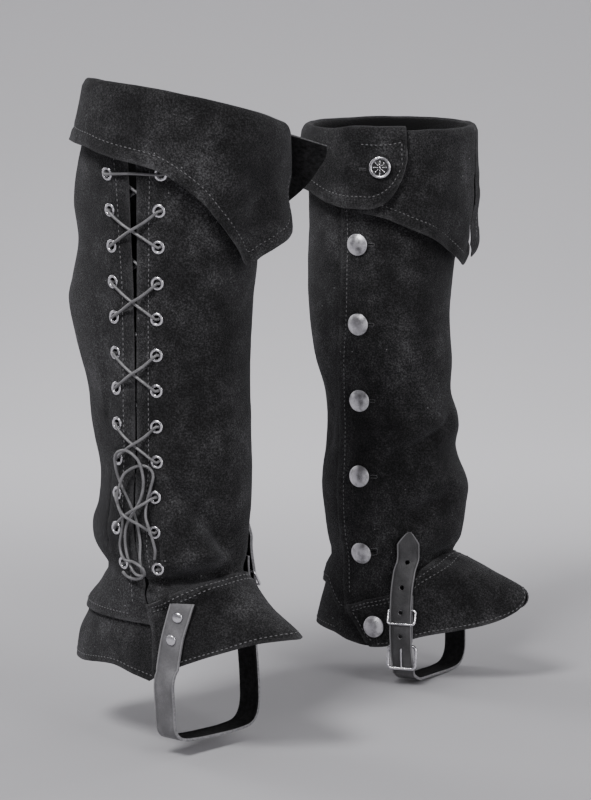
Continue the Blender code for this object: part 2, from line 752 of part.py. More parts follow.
def lathe(spat, name, profile, middle, axis, sides=12):
    """A turned piece: profile is (radius, distance along the axis) from its foot to its crown."""
    bm = bmesh.new()
    verts = [bm.verts.new((radius * MM, 0, up * MM)) for radius, up in profile]
    edges = [bm.edges.new(pair) for pair in zip(verts, verts[1:])]
    bmesh.ops.spin(
        bm, geom=verts + edges, cent=(0, 0, 0), axis=(0, 0, 1), angle=math.tau, steps=sides, use_merge=True
    )
    bmesh.ops.remove_doubles(bm, verts=bm.verts, dist=1e-6)
    turn = spat.direction(axis).to_track_quat("Z", "Y").to_matrix().to_4x4()
    bmesh.ops.transform(bm, matrix=Matrix.Translation(spat.to_world(middle)) @ turn, verts=bm.verts)
    add_object(f"{spat.name}_{name}", bm, SILVER)


def tab_seat(spat):
    """Where the ring button sits on the tab, and the way out of the tab there."""

    def on_tab(angle, drop):
        edge_drop, stand = cuff_edge(spat, "long_cuff", angle - 360)
        return cuff_point(spat, TAB_LAYER, angle, cuff_out(drop, edge_drop, stand), drop)

    middle = on_tab(RING_ANGLE, RING_DROP)
    along = on_tab(RING_ANGLE + 4, RING_DROP) - on_tab(RING_ANGLE - 4, RING_DROP)
    up = on_tab(RING_ANGLE, RING_DROP - 6) - on_tab(RING_ANGLE, RING_DROP + 6)
    normal = along.cross(up).normalized()
    return middle + normal * (WALL / 2 + 0.8), normal


def make_buttons(spat):
    """Domed buttons: the shank goes through the buttonhole and stops on the panel below."""
    seat = WALL / 2 + 0.4
    for i, row in enumerate(BUTTON_ROWS):
        height = shaft_height(spat, BUTTON_ANGLE, row)
        foot = wall_point(spat, BUTTON_ANGLE, height, seat)
        lathe(spat, f"button_{i + 1}", BUTTON_PROFILE, foot, wall_normal(spat, BUTTON_ANGLE, height))
    angle, height = vamp_place(spat, VAMP_BUTTON, VAMP_BUTTON_ROW)
    foot = wall_point(spat, angle, height, seat - VAMP_OUT)
    taller = tuple((radius, up + VAMP_OUT * 2 if up > 1 else up) for radius, up in BUTTON_PROFILE)
    lathe(spat, "button_6", taller, foot, wall_normal(spat, angle, height))
    lathe(spat, "ring_button", RING_PROFILE, *tab_seat(spat), 16)
    for i, up in enumerate(RIVET_HEIGHTS):
        forward, out = between([(row[1], row[0], row[2]) for row in STRAP_INNER], up)
        angle = side_angle(spat, -1, forward + spat.inner_lean, spat.seam + up)
        middle = side_point(spat, -1, forward + spat.inner_lean, spat.seam + up, out)[0]
        normal = wall_normal(spat, angle, spat.seam + up)
        lathe(spat, f"rivet_{i + 1}", RIVET_PROFILE, middle + normal * (STRAP_THICK / 2 + 0.6), normal)


def thread(spat, side, row, out):
    """The lace's middle where it goes through an eyelet, this far out."""
    angle = panel_angle(EYELET_ANGLES[side], row)
    return wall_point(spat, angle, shaft_height(spat, angle, row), out)


def lacing_place(spat, along, height, out):
    """A place over the lacing: this far along from the slit."""
    row = (spat.first_eyelet - height) / spat.eyelet_step
    drift = between(LACING_DRIFT, row)[0]
    return wall_point(spat, SLIT_ANGLE + drift + along / DEGREE_LENGTH, height, out)


def make_lace(spat):
    """One lace: a bar in the top row, crossing in front and behind by turns down to the last row."""
    strands = []
    for start in (0, 1):
        strand = []
        for row in range(EYELET_ROWS):
            side = (start + row) % 2
            inward = row % 2 == 0
            ends = (LACE_OUT, LACE_IN) if inward else (LACE_IN, LACE_OUT)
            strand += [thread(spat, side, row, out) for out in ends]
            if row == EYELET_ROWS - 1:
                break
            height = shaft_height(spat, SLIT_ANGLE, row + 0.5)
            if row % 2 == 0:
                strand.append(lacing_place(spat, 0, height, LACE_IN - start * LACE_CROSS))
            elif row == BOW_ROW:
                lift = BOW_LIFT + start * LACE_CROSS
                way = 1 if side == 0 else -1
                for share in (-0.55, 0, 0.55):
                    level = shaft_height(spat, SLIT_ANGLE, row + 0.5 + share / 2)
                    out = lift if share == 0 else BOW_LIFT * 0.75
                    strand.append(lacing_place(spat, share * way * EYELET_REACH, level, out))
            else:
                strand.append(lacing_place(spat, 0, height, LACE_OUT + (1 - start) * LACE_CROSS))
        strands.append(strand)
    bar = lacing_place(spat, 0, spat.first_eyelet + 1, LACE_OUT + 0.4)
    wire(spat, "lace", strands[0][::-1] + [bar] + strands[1], LACE_RADIUS, False, LACE_GREY)
    knot = spat.first_eyelet - spat.eyelet_step * (EYELET_ROWS - 1)
    route = [lacing_place(spat, along, knot + up, out) for along, up, out in BOW_ROUTE]
    wire(spat, "bow", smooth_path(route, BOW_POINTS), LACE_RADIUS, False, LACE_GREY)


def make_spat(spat):
    make_shaft(spat)
    make_foot(spat)
    make_cuffs(spat)
    make_under_strap(spat)
    make_buckle(spat)
    make_buttons(spat)
    make_lace(spat)


def main():
    for old in list(bpy.data.objects):
        bpy.data.objects.remove(old)
    make_spat(left_spat())
    make_spat(right_spat())


main()
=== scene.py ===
"""The look of a pair of tall suede spats: stitched panels, laced and buttoned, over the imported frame."""

import math

import bmesh
import bpy
from mathutils import Matrix, Vector, noise


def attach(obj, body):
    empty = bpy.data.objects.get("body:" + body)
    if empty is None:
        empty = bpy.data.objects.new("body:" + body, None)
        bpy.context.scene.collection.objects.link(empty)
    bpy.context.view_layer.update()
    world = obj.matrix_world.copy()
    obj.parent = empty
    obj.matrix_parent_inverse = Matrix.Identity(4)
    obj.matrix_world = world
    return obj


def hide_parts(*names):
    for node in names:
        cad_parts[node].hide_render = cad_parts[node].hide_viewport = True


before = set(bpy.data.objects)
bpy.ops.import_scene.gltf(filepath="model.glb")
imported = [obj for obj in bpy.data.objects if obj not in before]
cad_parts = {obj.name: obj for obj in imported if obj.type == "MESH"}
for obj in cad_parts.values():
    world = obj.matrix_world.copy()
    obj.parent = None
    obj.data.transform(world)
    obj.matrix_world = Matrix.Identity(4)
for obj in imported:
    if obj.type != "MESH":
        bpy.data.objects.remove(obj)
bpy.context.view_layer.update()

CAMERA_LENS = 101.5
CAMERA_PLACE = (0.0, -2.13, 0.0)
CAMERA_TILT = 83.0
FLOOR_HEIGHT = -0.5565
FLOOR_RADIUS = 1.9
FLOOR_BEND = 3.4
BACKDROP_TOP = 5.0
FLOOR_GREY = 0.52
WORLD_STRENGTH = 0.27

# Soft lights: name, place, what it points at, size, power.
LIGHTS = (
    ("key", (-1.1, -1.9, 2.0), (0, 0, -0.25), (0.8, 0.8), 72),
    ("fill", (1.7, -2.0, 0.6), (0.05, 0, -0.25), (1.0, 1.4), 24),
    ("back_left", (-1.7, 1.2, 0.9), (0, 0, -0.1), (0.8, 1.6), 16),
    ("back_right", (1.6, 1.4, 0.8), (0, 0, -0.2), (0.8, 1.6), 14),
    ("glow", (0.0, 1.2, 1.6), (0.0, 4.2, 0.1), (0.5, 1.0), 70),
)

# Softer creases between the cut pieces' own ones: as the folds, angle and height at each end,
# depth, half width.
LEFT_SOFT_FOLDS = (
    (-80, -402, -12, -390, 11.0, 5.5), (-78, -387, -14, -373, -4.5, 7.0),
    (-76, -416, -28, -406, -4.5, 5.5), (-56, -316, -8, -372, 9.5, 9.0),
    (-62, -340, -26, -372, -3.5, 9.0), (-45, -180, -25, -260, 1.6, 16.0),
    (-104, -150, -112, -260, 1.8, 14.0), (-110, -372, -150, -366, -3.0, 10.0),
    (-112, -392, -150, -388, 3.0, 8.0),
)
RIGHT_SOFT_FOLDS = (
    (70, -330, 8, -296, 3.0, 9.0), (62, -392, 14, -366, 3.0, 9.0), (58, -432, 8, -424, 3.5, 7.0),
    (120, -200, 140, -330, 2.5, 14.0), (60, -180, 30, -230, 1.5, 16.0),
)
BOW_SHIFT = 6.0
BOW_RAISE = 4
BOW_POINTS = 240

# Brightness of the suede by the depth of its nap.
SUEDE_SHADES = ((0.12, 0.006), (0.42, 0.015), (0.66, 0.034), (0.95, 0.10))

# Plain finishes: key, name, pattern scale, shades, relief, pattern detail, pattern roughness, sockets.
# They are the bare cut edges of suede and strap, their flesh sides painted nearly black as the shade
# that lies on them inside the shafts and under the straps, the sewing thread, and the ring button's
# dark disc, painted as the dark suede and shade seen through its openwork.
CUT = {"Roughness": 0.95, "Specular_IOR_Level": 0.15}
FLESH_SHADE = {"Roughness": 0.95, "Specular_IOR_Level": 0.1}
EDGE = {"Roughness": 0.6}
THREAD = {"Roughness": 0.7}
OPENWORK_SHADE = {"Roughness": 0.4}
PLAIN_FINISHES = (
    ("suede_edge", "suede_cut_edge", 600, ((0.3, 0.035), (0.7, 0.14)), 0.0006, 4, 0.7, CUT),
    ("strap_edge", "strap_cut_edge", 500, ((0.3, 0.15), (0.7, 0.34)), 0.0003, 3, 0.55, EDGE),
    ("thread", "sewing_thread", 700, ((0.3, 0.10), (0.7, 0.21)), 0.0002, 2, 0.55, THREAD),
    # Painted shade: the flesh sides, nearly black as the shade inside the shafts and under the straps.
    ("flesh_shade", "suede_inside_shade", 260, ((0.3, 0.009), (0.7, 0.032)), 0.0006, 4, 0.65, FLESH_SHADE),
    ("strap_flesh_shade", "strap_inside_shade", 260, ((0.3, 0.008), (0.7, 0.022)), 0.0006, 4, 0.65, FLESH_SHADE),
    # The ring button's dark disc: painted as the dark suede and shade seen through its openwork.
    ("openwork_shade", "dark_ground", 400, ((0.3, 0.008), (0.7, 0.03)), 0.0003, 3, 0.55, OPENWORK_SHADE),
)

# Where each front strand of the lace hangs slack: share of the way from its middle, and how far.
LACE_SLACK = ((-0.5, 1.8), (0, 1.4), (0.5, 0.2))
LACE_POINTS = 460

# Unevenness of the hide: height and length of each wave; how the foot sinks in under its strap.
RIPPLES = ((1.1, 58), (0.55, 24), (0.16, 9))
FOOT_SINK = 1.2
FOOT_SHARE = 0.45
LEG_RADIUS = 80
CUFF_SWAY = 3.4
CUFF_SWAY_LENGTHS = (34, 14)
CUFF_RIM_SWAY, CUFF_RIM_LENGTH = 0.7, 20
SEAM_RIDGE, SEAM_GROOVE, GROOVE_HALF = 0.5, 0.8, 2.0

# Widest mesh steps: columns in degrees, rows in shares of a row, along a strap in millimetres.
SHAFT_STEPS = (2.6, 0.115)
VAMP_STEPS = (2.2, 0.03)
HEEL_STEPS = (2.4, 0.05)
CUFF_COLUMN_STEPS = (2.4, 1.8)
CUFF_HANG_ROWS = 30
STRAP_STEP = 4

SLIT_REACH = 12.0
SLIT_HALF = 0.5

# Seams: the columns and rows they run along. Buttonhole stitches: pitch, length, width.
CUFF_SEAM_IN = 12.0
SLIT_SEAMS = (-71, 269)
FLY_SEAM = 105.5
HEEL_SEAM_ROW = 11.86
VAMP_SEAMS = (0.05, 0.105, 0.93)
STITCH_PITCH = 4.5
STITCH_LIFT = 0.95
BUTTONHOLE_STITCH = (1.1, 0.8, 0.4)

STRAP_HOLE = 2.6
HOLE_ACROSS = STRAP_HOLE / 11
HOLE_CLEAR = 18
# A creased line runs along each edge of a strap: its share of the half width, and its depth.
CREASE_AT, CREASE_DEPTH = 0.84, 0.6
CREASE_CENTRE_UP = 45
# A place inside the loop under the foot: forward, and below the vamp's seam.
STRAP_LOOP = (42, 70)
POINT_DROPS = (1, 2.5, 4.5, 7, 9.5, 12)
STRAP_HOLES = (21.5, 45.5, 70.0, 94.5)

# Turned pieces: radius and distance along the axis, from foot to crown.
BUTTON_SECTION = (
    (0, 0), (1.4, 0), (1.4, 3.3), (9.4, 3.6), (10.6, 4.0), (10.9, 4.7), (10.5, 5.3), (9.7, 5.5),
    (8.6, 6.2), (6.4, 7.2), (3.4, 7.9), (0, 8.15),
)
RING_SECTION = (
    (0, 0), (7.5, 0), (9.8, 0.5), (10.7, 1.5), (10.5, 2.7), (9.5, 3.4), (8.4, 3.1), (7.7, 2.3),
    (7.6, 1.3), (0, 1.3),
)
RIVET_SECTION = ((0, 0), (4.4, 0), (4.8, 0.35), (4.7, 1.0), (3.8, 1.7), (2.2, 2.1), (0, 2.25))
EYELET_SECTION = (
    (3.4, -1.5), (3.4, 1.1), (3.75, 1.6), (4.5, 2.0), (5.5, 1.75), (6.3, 0.98), (5.0, 0.92),
    (3.8, 0.9), (3.8, -1.5),
)

MM = 0.001
WALL = 1.6
AIR = 0.75
LAYER = WALL + AIR
SLIT_ANGLE = -81.0
EYELET_ANGLES = (-97.0, -65.0)
EYELET_ROWS = 12
HOLE_RADIUS = 4.0
LACE_RADIUS = 1.3
BUTTON_ANGLE = 93.0
FLY_ANGLE = 112.0
CLOTH_ROUND = 0.35
STRAP_ROUND = 0.4
STRAP_WIDTH = 22.0
STRAP_THICK = 2.6

# Sections of each shaft and foot: height, reach to the heel, reach to the toe, half width, point.
# Point is 0 for an oval front and 1 for a front that comes to a point.
LEFT_SECTIONS = (
    (40, 54, 110, 80, 0.0), (0, 65, 111, 79, 0.0), (-32, 82, 104, 75, 0.0), (-68, 93, 93, 69, 0.0),
    (-103, 90, 86, 65, 0.0), (-138, 102, 80, 62, 0.0), (-156, 108, 78, 61, 0.0),
    (-192, 98, 76, 60, 0.0), (-228, 83, 75, 59, 0.0), (-264, 78, 76, 58, 0.0),
    (-300, 67, 78, 57, 0.0), (-336, 70, 77, 56, 0.0), (-354, 78, 75, 56, 0.0),
    (-373, 77, 73, 55, 0.0), (-393, 64, 74, 52, 0.0), (-411, 71, 86, 51, 0.1),
    (-420, 80, 97, 50, 0.2), (-430, 90, 114, 50, 0.4), (-446, 96, 146, 50, 0.6),
    (-464, 103, 150, 51, 0.8), (-490, 108, 156, 52, 0.8),
)
RIGHT_SECTIONS = (
    (40, 80, 82, 79, 0.0), (0, 80, 81, 78, 0.0), (-37, 83, 78, 73, 0.0), (-76, 82, 75, 68, 0.0),
    (-116, 84, 69, 63, 0.0), (-156, 84, 63, 61, 0.0), (-196, 82, 60, 60, 0.0),
    (-237, 75, 63, 59, 0.0), (-267, 65, 63, 58, 0.0), (-298, 62, 73, 57, 0.0),
    (-326, 64, 69, 57, 0.0), (-359, 68, 82, 57, 0.0), (-380, 67, 80, 56, 0.0),
    (-410, 63, 76, 55, 0.0), (-430, 60, 70, 52, 0.0), (-438, 62, 88, 51, 0.1),
    (-446, 65, 110, 50, 0.3), (-462, 69, 146, 49, 0.6), (-483, 71, 150, 49, 0.7),
    (-505, 76, 150, 50, 0.8), (-525, 78, 150, 51, 0.8),
)

# Creases: angle and height at each end, depth (a ridge is negative), half width.
LEFT_FOLDS = (
    (-78, -403, 0, -391, 6.0, 6.0), (-82, -372, -20, -374, -4.0, 10.0),
    (-75, -414, -20, -400, -3.5, 6.0), (-36, -316, 6, -385, 5.0, 13.0),
    (152, -396, 245, -396, 3.0, 8.0), (15, -394, 64, -402, 4.0, 9.0),
)
RIGHT_FOLDS = (
    (68, -441, 10, -429, 5.0, 7.0), (56, -322, 2, -288, 4.0, 8.0), (66, -386, 20, -362, 4.0, 8.0),
    (152, -434, 245, -432, 3.0, 8.0), (-75, -424, -10, -428, 5.0, 7.0),
    (-52, -330, -15, -300, 4.0, 10.0),
)

# The line where the vamp is sewn on: angle, height below its highest point at the front.
SEAM_DROPS = ((-80, 27), (-60, 15), (-34, 5), (0, 0), (37, 6), (65, 19), (81, 39), (101, 51), (112, 54))

# The hem all round the foot: angle, height.
LEFT_HEM = ((-82, -487), (-68, -470), (-47, -452), (-30, -446), (0, -445), (30, -448))
LEFT_HEM += ((60, -460), (84, -468), (106, -470), (140, -478), (180, -485), (222, -487))
LEFT_HEM += ((255, -481), (270, -486), (278, -490))
RIGHT_HEM = ((-82, -512), (-60, -500), (-38, -490), (-20, -478), (0, -462), (21, -480))
RIGHT_HEM += ((38, -491), (59, -501), (68, -506), (84, -519), (106, -517), (123, -511))
RIGHT_HEM += ((180, -509), (230, -513), (278, -516))

# How far the edge of the front panel strays from its mean angle, by shaft row.
FLY_STRAY = ((-1, -7), (1.5, -6), (4, -3), (6.5, 5), (9, 5), (11, 5), (12, -2))

# How far the lacing drifts round the leg, in degrees, by shaft row.
LACING_DRIFT = ((-1, 3.5), (0, 3.5), (1, 2.5), (3, 1.3), (5, 0.2), (7, -0.9), (8, -2))
LACING_DRIFT += ((9, -4), (10, -4), (11, -1), (12, 0))

# Lower edge of each half of the cuff: angle, drop below the rim, stand-off from the shaft.
TAB_END = ((-232, 58, 12), (-253, 69, 12), (-277, 72, 12), (-284, 70, 12))
TAB_END += ((-293, 61, 12), (-300, 42, 12), (-303, 24, 12))
LEFT_LONG_CUFF = (
    (35, 44, 16), (30, 70, 22), (24, 90, 25), (12, 105, 20), (4, 115, 15), (-5, 125, 13),
    (-13, 116, 14), (-27, 97, 16), (-39, 81, 16), (-59, 65, 14), (-81, 60, 12), (-104, 54, 11),
    (-150, 48, 11), (-190, 52, 12),
) + TAB_END
LEFT_SHORT_CUFF = (
    (88, 80, 12), (78, 76, 23), (66, 65, 36), (58, 53, 42), (52, 44, 43), (47, 32, 44),
    (43, 21, 46), (40, 13, 43),
)
RIGHT_LONG_CUFF = (
    (-9, 126, 15), (-20, 118, 19), (-40, 100, 19), (-60, 88, 15), (-83, 76, 12), (-130, 64, 11),
    (-190, 58, 12),
) + TAB_END
RIGHT_SHORT_CUFF = (
    (88, 76, 8), (74, 79, 10), (63, 85, 12), (44, 97, 14), (25, 112, 14), (8, 128, 13),
    (0, 131, 13), (-6, 122, 13),
)

# The strap under the sole, from the rivets on the inner side down to where it leaves the foot:
# forward, height below the vamp's seam, distance out from the wall.
STRAP_INNER = ((51, -17, 6.8), (49, -29, 6.5), (47.5, -39, 6.3))
STRAP_INNER += ((45.5, -49, 6.1), (43.5, -62, 6.4), (42, -75, 6.7))
# Its outer end, from below the buckle up to its point: forward, height over the buckle, distance out.
STRAP_OUTER = (
    (41, -16, 7.5), (40, -9, 7.7), (39, 4, 10.6), (39, 12, 12.2), (38.5, 24, 13.2),
    (38.5, 36, 13.5), (38.5, 48, 13.3), (38.5, 60, 11.6),
)
BUCKLE_SIZE = (29.5, 22.0)
BUCKLE_WIRE, BUCKLE_ROUND = 1.6, 4.0
KEEPER_WIRE, KEEPER_ROUND = 1.1, 2.5

# The tied bow on the lacing, from one last eyelet to the other: along, up from that eyelet, out.
BOW_ROUTE = (
    (-20, -7, 4.5), (-12, -11, 5.0), (-3, -12, 6.0), (5, -8, 7.5), (9, 0, 8.5), (9, 10, 7.5),
    (8, 24, 4.5), (-1, 44, 3.4), (-20, 70, 4.2), (-24, 86, 7.0), (-19, 96, 10.5), (-10, 100, 10.8),
    (-1, 96, 10.8), (4, 88, 9.0), (7, 72, 7.0), (5, 56, 6.8), (-5, 36, 6.8), (-7, 20, 6.8),
    (-4, 6, 9.0), (3, -3, 12.2), (12, -4, 12.2), (13, 4, 12.2), (4, 8, 12.0), (-8, 8, 10.5),
    (-14, 18, 6.0), (-13, 37, 3.4), (-15, 49, 8.5), (-15.5, 58, 11.2), (-15, 67, 9.8),
    (-11, 79, 8.0), (0, 86, 5.0), (9, 85, 3.6), (14, 78, 3.6), (12, 66, 3.4), (10, 54, 3.4),
    (13, 43, 7.5), (20, 32, 9.8), (24, 18, 6.0), (22, 10, 4.5),
)

# Rows of the shaft: 0 to 11 are the eyelet rows, then its seam and its lower edge.
SEAM_ROW = 11.8
LAST_ROW = 12
BUTTON_ROWS = (1.4, 4, 6.5, 9, 11.2)
FOOT_SEAM_ROW = 0.15
VAMP_BUTTON, VAMP_BUTTON_ROW = 98, 0.55
VAMP_HOLE, VAMP_HOLE_RADIUS = (4.4, 0.062), 5.2
VAMP_SLIT_HALF = 0.009
VAMP_EDGE = (108, 88)
UNDERLAP_ANGLE = 78
HEEL_END = 284
VAMP_LEAN_FROM = 46
DEGREE_LENGTH = 1.33
EYELET_REACH = 21.0
SEAM_TURN = 5.0
TOP_EDGE = 3.0
SLIT_TOP = 2.4
SLIT_FOOT = 0.8
VAMP_OUT = LAYER + 0.8

# The folded cuff's section: steps outward and up from the shaft's top edge, before it hangs free.
CUFF_TURN = ((-4.2, -17), (-4.2, -3), (-0.8, 2.6), (3.2, 2.8), (6.2, -2.5))

RING_ANGLE = 73
RING_DROP = 31
TAB_FROM = -268
TAB_COLUMNS = (88, 81, 74, 67, 60, 57)
TAB_LAYER = LAYER + 1.2
RIVET_HEIGHTS = (-29, -49)

BUCKLE_FORWARD = 39.5
BUCKLE_OUT = (11.4, 8.3)
PRONG_ROUTE = ((-9.2, 11.4), (0, 12.9), (9.5, 14.4))
PRONG_RADIUS = 1.0
KEEPER_SIZE = (27.5, 13.0)
KEEPER_OUT = (16.4, 10.4)
KEEPER_UP = 41
CHAPE_HEIGHTS = (15, 62)
CHAPE_OUT = 7.7
CHAPE_WIDTH = 20.0
CHAPE_THICK = 2.2
LACE_OUT = 3.3
LACE_IN = -3.4
LACE_CROSS = 3.4
BOW_ROW = 9
BOW_LIFT = 12.0


class Spat:
    """One spat: where it stands, which way it points, its levels and its tables."""

    def __init__(self, name, side, place, yaw, grain):
        turn = math.radians(yaw)
        self.name = name
        self.grain = grain
        self.place = Vector((*place, 0.0))
        self.toe = Vector((math.cos(turn), -math.sin(turn), 0.0))
        self.outer = Vector((math.sin(turn), math.cos(turn), 0.0)) * side

    def to_world(self, point):
        """Turns forward, outward and height into a place in the room, in metres."""
        flat = self.toe * point[0] + self.outer * point[1]
        return (self.place + flat + Vector((0, 0, point[2]))) * MM

    def direction(self, way):
        """Turns a forward, outward and upward direction into the room's."""
        return (self.toe * way[0] + self.outer * way[1] + Vector((0, 0, way[2]))).normalized()


def left_spat():
    spat = Spat("left", 1, (-112, -130), 38, 0)
    spat.sections, spat.hem = LEFT_SECTIONS, LEFT_HEM
    spat.folds = LEFT_FOLDS + LEFT_SOFT_FOLDS
    spat.inner_lean = 0
    spat.long_cuff, spat.short_cuff = LEFT_LONG_CUFF, LEFT_SHORT_CUFF
    spat.rim = (13.4, 11.5, 18.4)
    spat.first_eyelet, spat.eyelet_step = -43, 31.2
    spat.seam, spat.heel_seam, spat.buckle = -399, -434, -450
    spat.sole_route = ((41, -57.5, -487), (39, -54, -510), (38, -51, -530), (38.5, -43, -539))
    spat.sole_route += ((40, -25, -542), (43, 0, -543), (46, 25, -543), (48, 43, -540))
    spat.sole_route += ((48, 52, -528), (46, 55, -505))
    spat.strap_tail = ((39, 70, 9.5), (40, 80, 8.5), (40.5, 87, 8), (41, 92, 7.5))
    return spat


def right_spat():
    spat = Spat("right", -1, (94, 130), 26, 400)
    spat.sections, spat.hem = RIGHT_SECTIONS, RIGHT_HEM
    spat.folds = RIGHT_FOLDS + RIGHT_SOFT_FOLDS
    spat.inner_lean = 6
    spat.long_cuff, spat.short_cuff = RIGHT_LONG_CUFF, RIGHT_SHORT_CUFF
    spat.rim = (-4, 3, 6.5)
    spat.first_eyelet, spat.eyelet_step = -75, 30.2
    spat.seam, spat.heel_seam, spat.buckle = -432, -459, -526
    spat.sole_route = ((52, -54, -506), (52.5, -55, -526), (52.5, -53, -542), (51, -44, -552))
    spat.sole_route += ((49, -25, -554), (46, 0, -553), (43, 25, -552), (42.5, 40, -550.5))
    spat.sole_route += ((42, 50, -546),)
    spat.strap_tail = ((38.8, 75, 10), (39.5, 93, 8.5), (41.5, 113, 7.5), (42.2, 119, 7.2), (43, 125, 7))
    return spat


def between(table, key):
    """The row of a table at this key, on a smooth curve through its rows."""
    rows = sorted(table)
    if key <= rows[0][0]:
        return rows[0][1:]
    if key >= rows[-1][0]:
        return rows[-1][1:]
    i = next(i for i in range(len(rows) - 1) if rows[i + 1][0] >= key)
    low, high = rows[i], rows[i + 1]
    before = rows[max(i - 1, 0)]
    after = rows[min(i + 2, len(rows) - 1)]
    span = high[0] - low[0]
    t = (key - low[0]) / span
    found = []
    for k in range(1, len(low)):
        slope_in = (high[k] - before[k]) / (high[0] - before[0]) * span
        slope_out = (after[k] - low[k]) / (after[0] - low[0]) * span
        value = low[k] * (2 * t**3 - 3 * t**2 + 1) + high[k] * (3 * t**2 - 2 * t**3)
        value += slope_in * (t**3 - 2 * t**2 + t) + slope_out * (t**3 - t**2)
        found.append(value)
    return tuple(found)


def ease(low, high, value):
    """0 below low, 1 above high, and a smooth step between."""
    t = min(max((value - low) / (high - low), 0.0), 1.0)
    return t * t * (3 - 2 * t)


def wrapped(angle):
    """The same angle counted from the lacing, round by the toe."""
    return (angle + 110) % 360 - 110


def section_point(spat, angle, height):
    """The middle of the wall with no folds in it."""
    back, front, half, point = between(spat.sections, height)
    forward = math.cos(math.radians(angle))
    outward = math.sin(math.radians(angle))
    reach = front if forward > 0 else back
    narrow = 1 + point * ease(0.0, 0.5, forward)
    return Vector((reach * forward, math.copysign(half * abs(outward) ** narrow, outward), height))


def wall_normal(spat, angle, height):
    """The way out of the wall at this place."""
    along = section_point(spat, angle + 1, height) - section_point(spat, angle - 1, height)
    up = section_point(spat, angle, height + 3) - section_point(spat, angle, height - 3)
    return along.cross(up).normalized()


def level_normal(spat, angle, height):
    """The way out of the wall, kept level."""
    normal = wall_normal(spat, angle, height)
    normal.z = 0
    return normal.normalized()


def fold_depth(spat, angle, height):
    """How far the creases push the wall in at this place."""
    angle = wrapped(angle)
    depth = 0.0
    for angle_a, height_a, angle_b, height_b, deep, wide in spat.folds:
        along = Vector(((angle_b - angle_a) * DEGREE_LENGTH, height_b - height_a))
        here = Vector(((angle - angle_a) * DEGREE_LENGTH, height - height_a))
        t = here.dot(along) / along.length_squared
        aside = (here - along * t).length
        fade = ease(-0.15, 0.15, t) * (1 - ease(0.85, 1.15, t))
        depth += deep * fade * math.exp(-((aside / wide) ** 2))
    return depth


def wall_point(spat, angle, height, out=0.0):
    """A place on the wall, or this far outside it."""
    push = out - fold_depth(spat, angle, height)
    return section_point(spat, angle, height) + wall_normal(spat, angle, height) * push


def side_angle(spat, side, forward, height):
    """The angle on the inner (-1) or outer (1) side of the wall this far forward."""
    front = between(spat.sections, height)[1]
    return side * math.degrees(math.acos(forward / front))


def side_point(spat, side, forward, height, out):
    """A place on the smooth side of the foot, moved out, and the level way along the wall there."""
    angle = side_angle(spat, side, forward, height)
    normal = level_normal(spat, angle, height)
    along = Vector((abs(normal.y), -normal.x * side, 0))
    return section_point(spat, angle, height) + normal * out, along, normal


def rim_height(spat, angle):
    level, forward, outward = spat.rim
    turn = math.radians(angle)
    return level - forward * math.cos(turn) - outward * math.sin(turn)


def hem_height(spat, angle):
    return between(spat.hem, (angle + 82) % 360 - 82)[0]


def seam_height(spat, angle):
    """Where the vamp's upper edge is sewn to the front panel."""
    return spat.seam - between(SEAM_DROPS, angle)[0]


def lower_edge(spat, angle):
    """The lower edge of the shaft, just under the vamp and the heel piece."""
    heel = spat.heel_seam - SEAM_TURN
    if angle > FLY_ANGLE + 30:
        return heel
    front = seam_height(spat, angle) - SEAM_TURN
    return front + (heel - front) * ease(FLY_ANGLE, FLY_ANGLE + 30, angle)


def shaft_height(spat, angle, row):
    """Rows 0 to 11 are the eyelet rows, -1 is the top edge, and the last two lie along the seam."""
    last_row = EYELET_ROWS - 1
    if row < 0:
        top = rim_height(spat, angle) - TOP_EDGE
        return spat.first_eyelet + (top - spat.first_eyelet) * -row
    height = spat.first_eyelet - spat.eyelet_step * min(row, last_row)
    low = lower_edge(spat, angle)
    above = low + 2 * SEAM_TURN
    if row > SEAM_ROW:
        return above + (low - above) * (row - SEAM_ROW) / (LAST_ROW - SEAM_ROW)
    return height + (above - height) * max(row - last_row, 0) / (SEAM_ROW - last_row)


def front_out(angle):
    """The front panel lies on the back panel at the buttons and level with it at the lacing."""
    angle = wrapped(angle)
    return LAYER * ease(-40, 60, angle) * (1 - ease(FLY_ANGLE, 200, angle))


def panel_angle(angle, row):
    """Moves the edges at the lacing slit and at the fly to where they are in this row."""
    turn = wrapped(angle)
    gap = SLIT_TOP + (SLIT_FOOT - SLIT_TOP) * ease(0, 6, row)
    aside = abs(turn - SLIT_ANGLE)
    near = 1 - ease(0, 10, aside)
    drift = between(LACING_DRIFT, row)[0] * (1 - ease(24, 60, aside))
    near_fly = ease(BUTTON_ANGLE, FLY_ANGLE, turn) * (1 - ease(FLY_ANGLE, 150, turn))
    stray = between(FLY_STRAY, row)[0] * near_fly
    return angle + stray + drift + (gap if angle < 0 else -gap) * near


def foot_height(spat, angle, top, row):
    """The first rows of the foot's pieces lie along the seam, the rest spread down to the hem."""
    if row <= FOOT_SEAM_ROW:
        return top - 2 * SEAM_TURN * row / FOOT_SEAM_ROW
    low = top - 2 * SEAM_TURN
    return low + (hem_height(spat, angle) - low) * (row - FOOT_SEAM_ROW) / (1 - FOOT_SEAM_ROW)


def vamp_place(spat, angle, row):
    """The vamp's back edge leans forward towards the hem, and its outer side is drawn in with it."""
    edge = VAMP_EDGE[0] + (VAMP_EDGE[1] - VAMP_EDGE[0]) * row
    if angle > VAMP_LEAN_FROM:
        share = (angle - VAMP_LEAN_FROM) / (FLY_ANGLE - VAMP_LEAN_FROM)
        angle = VAMP_LEAN_FROM + share * (edge - VAMP_LEAN_FROM)
    return angle, foot_height(spat, angle, seam_height(spat, angle) + SEAM_TURN, row)


def cuff_out(drop, edge_drop, stand):
    """How far out the free part of a cuff hangs at this drop, on the line to its lower edge."""
    start_out, start_up = CUFF_TURN[-1]
    return start_out + (stand - start_out) * (drop + start_up) / (edge_drop + start_up)


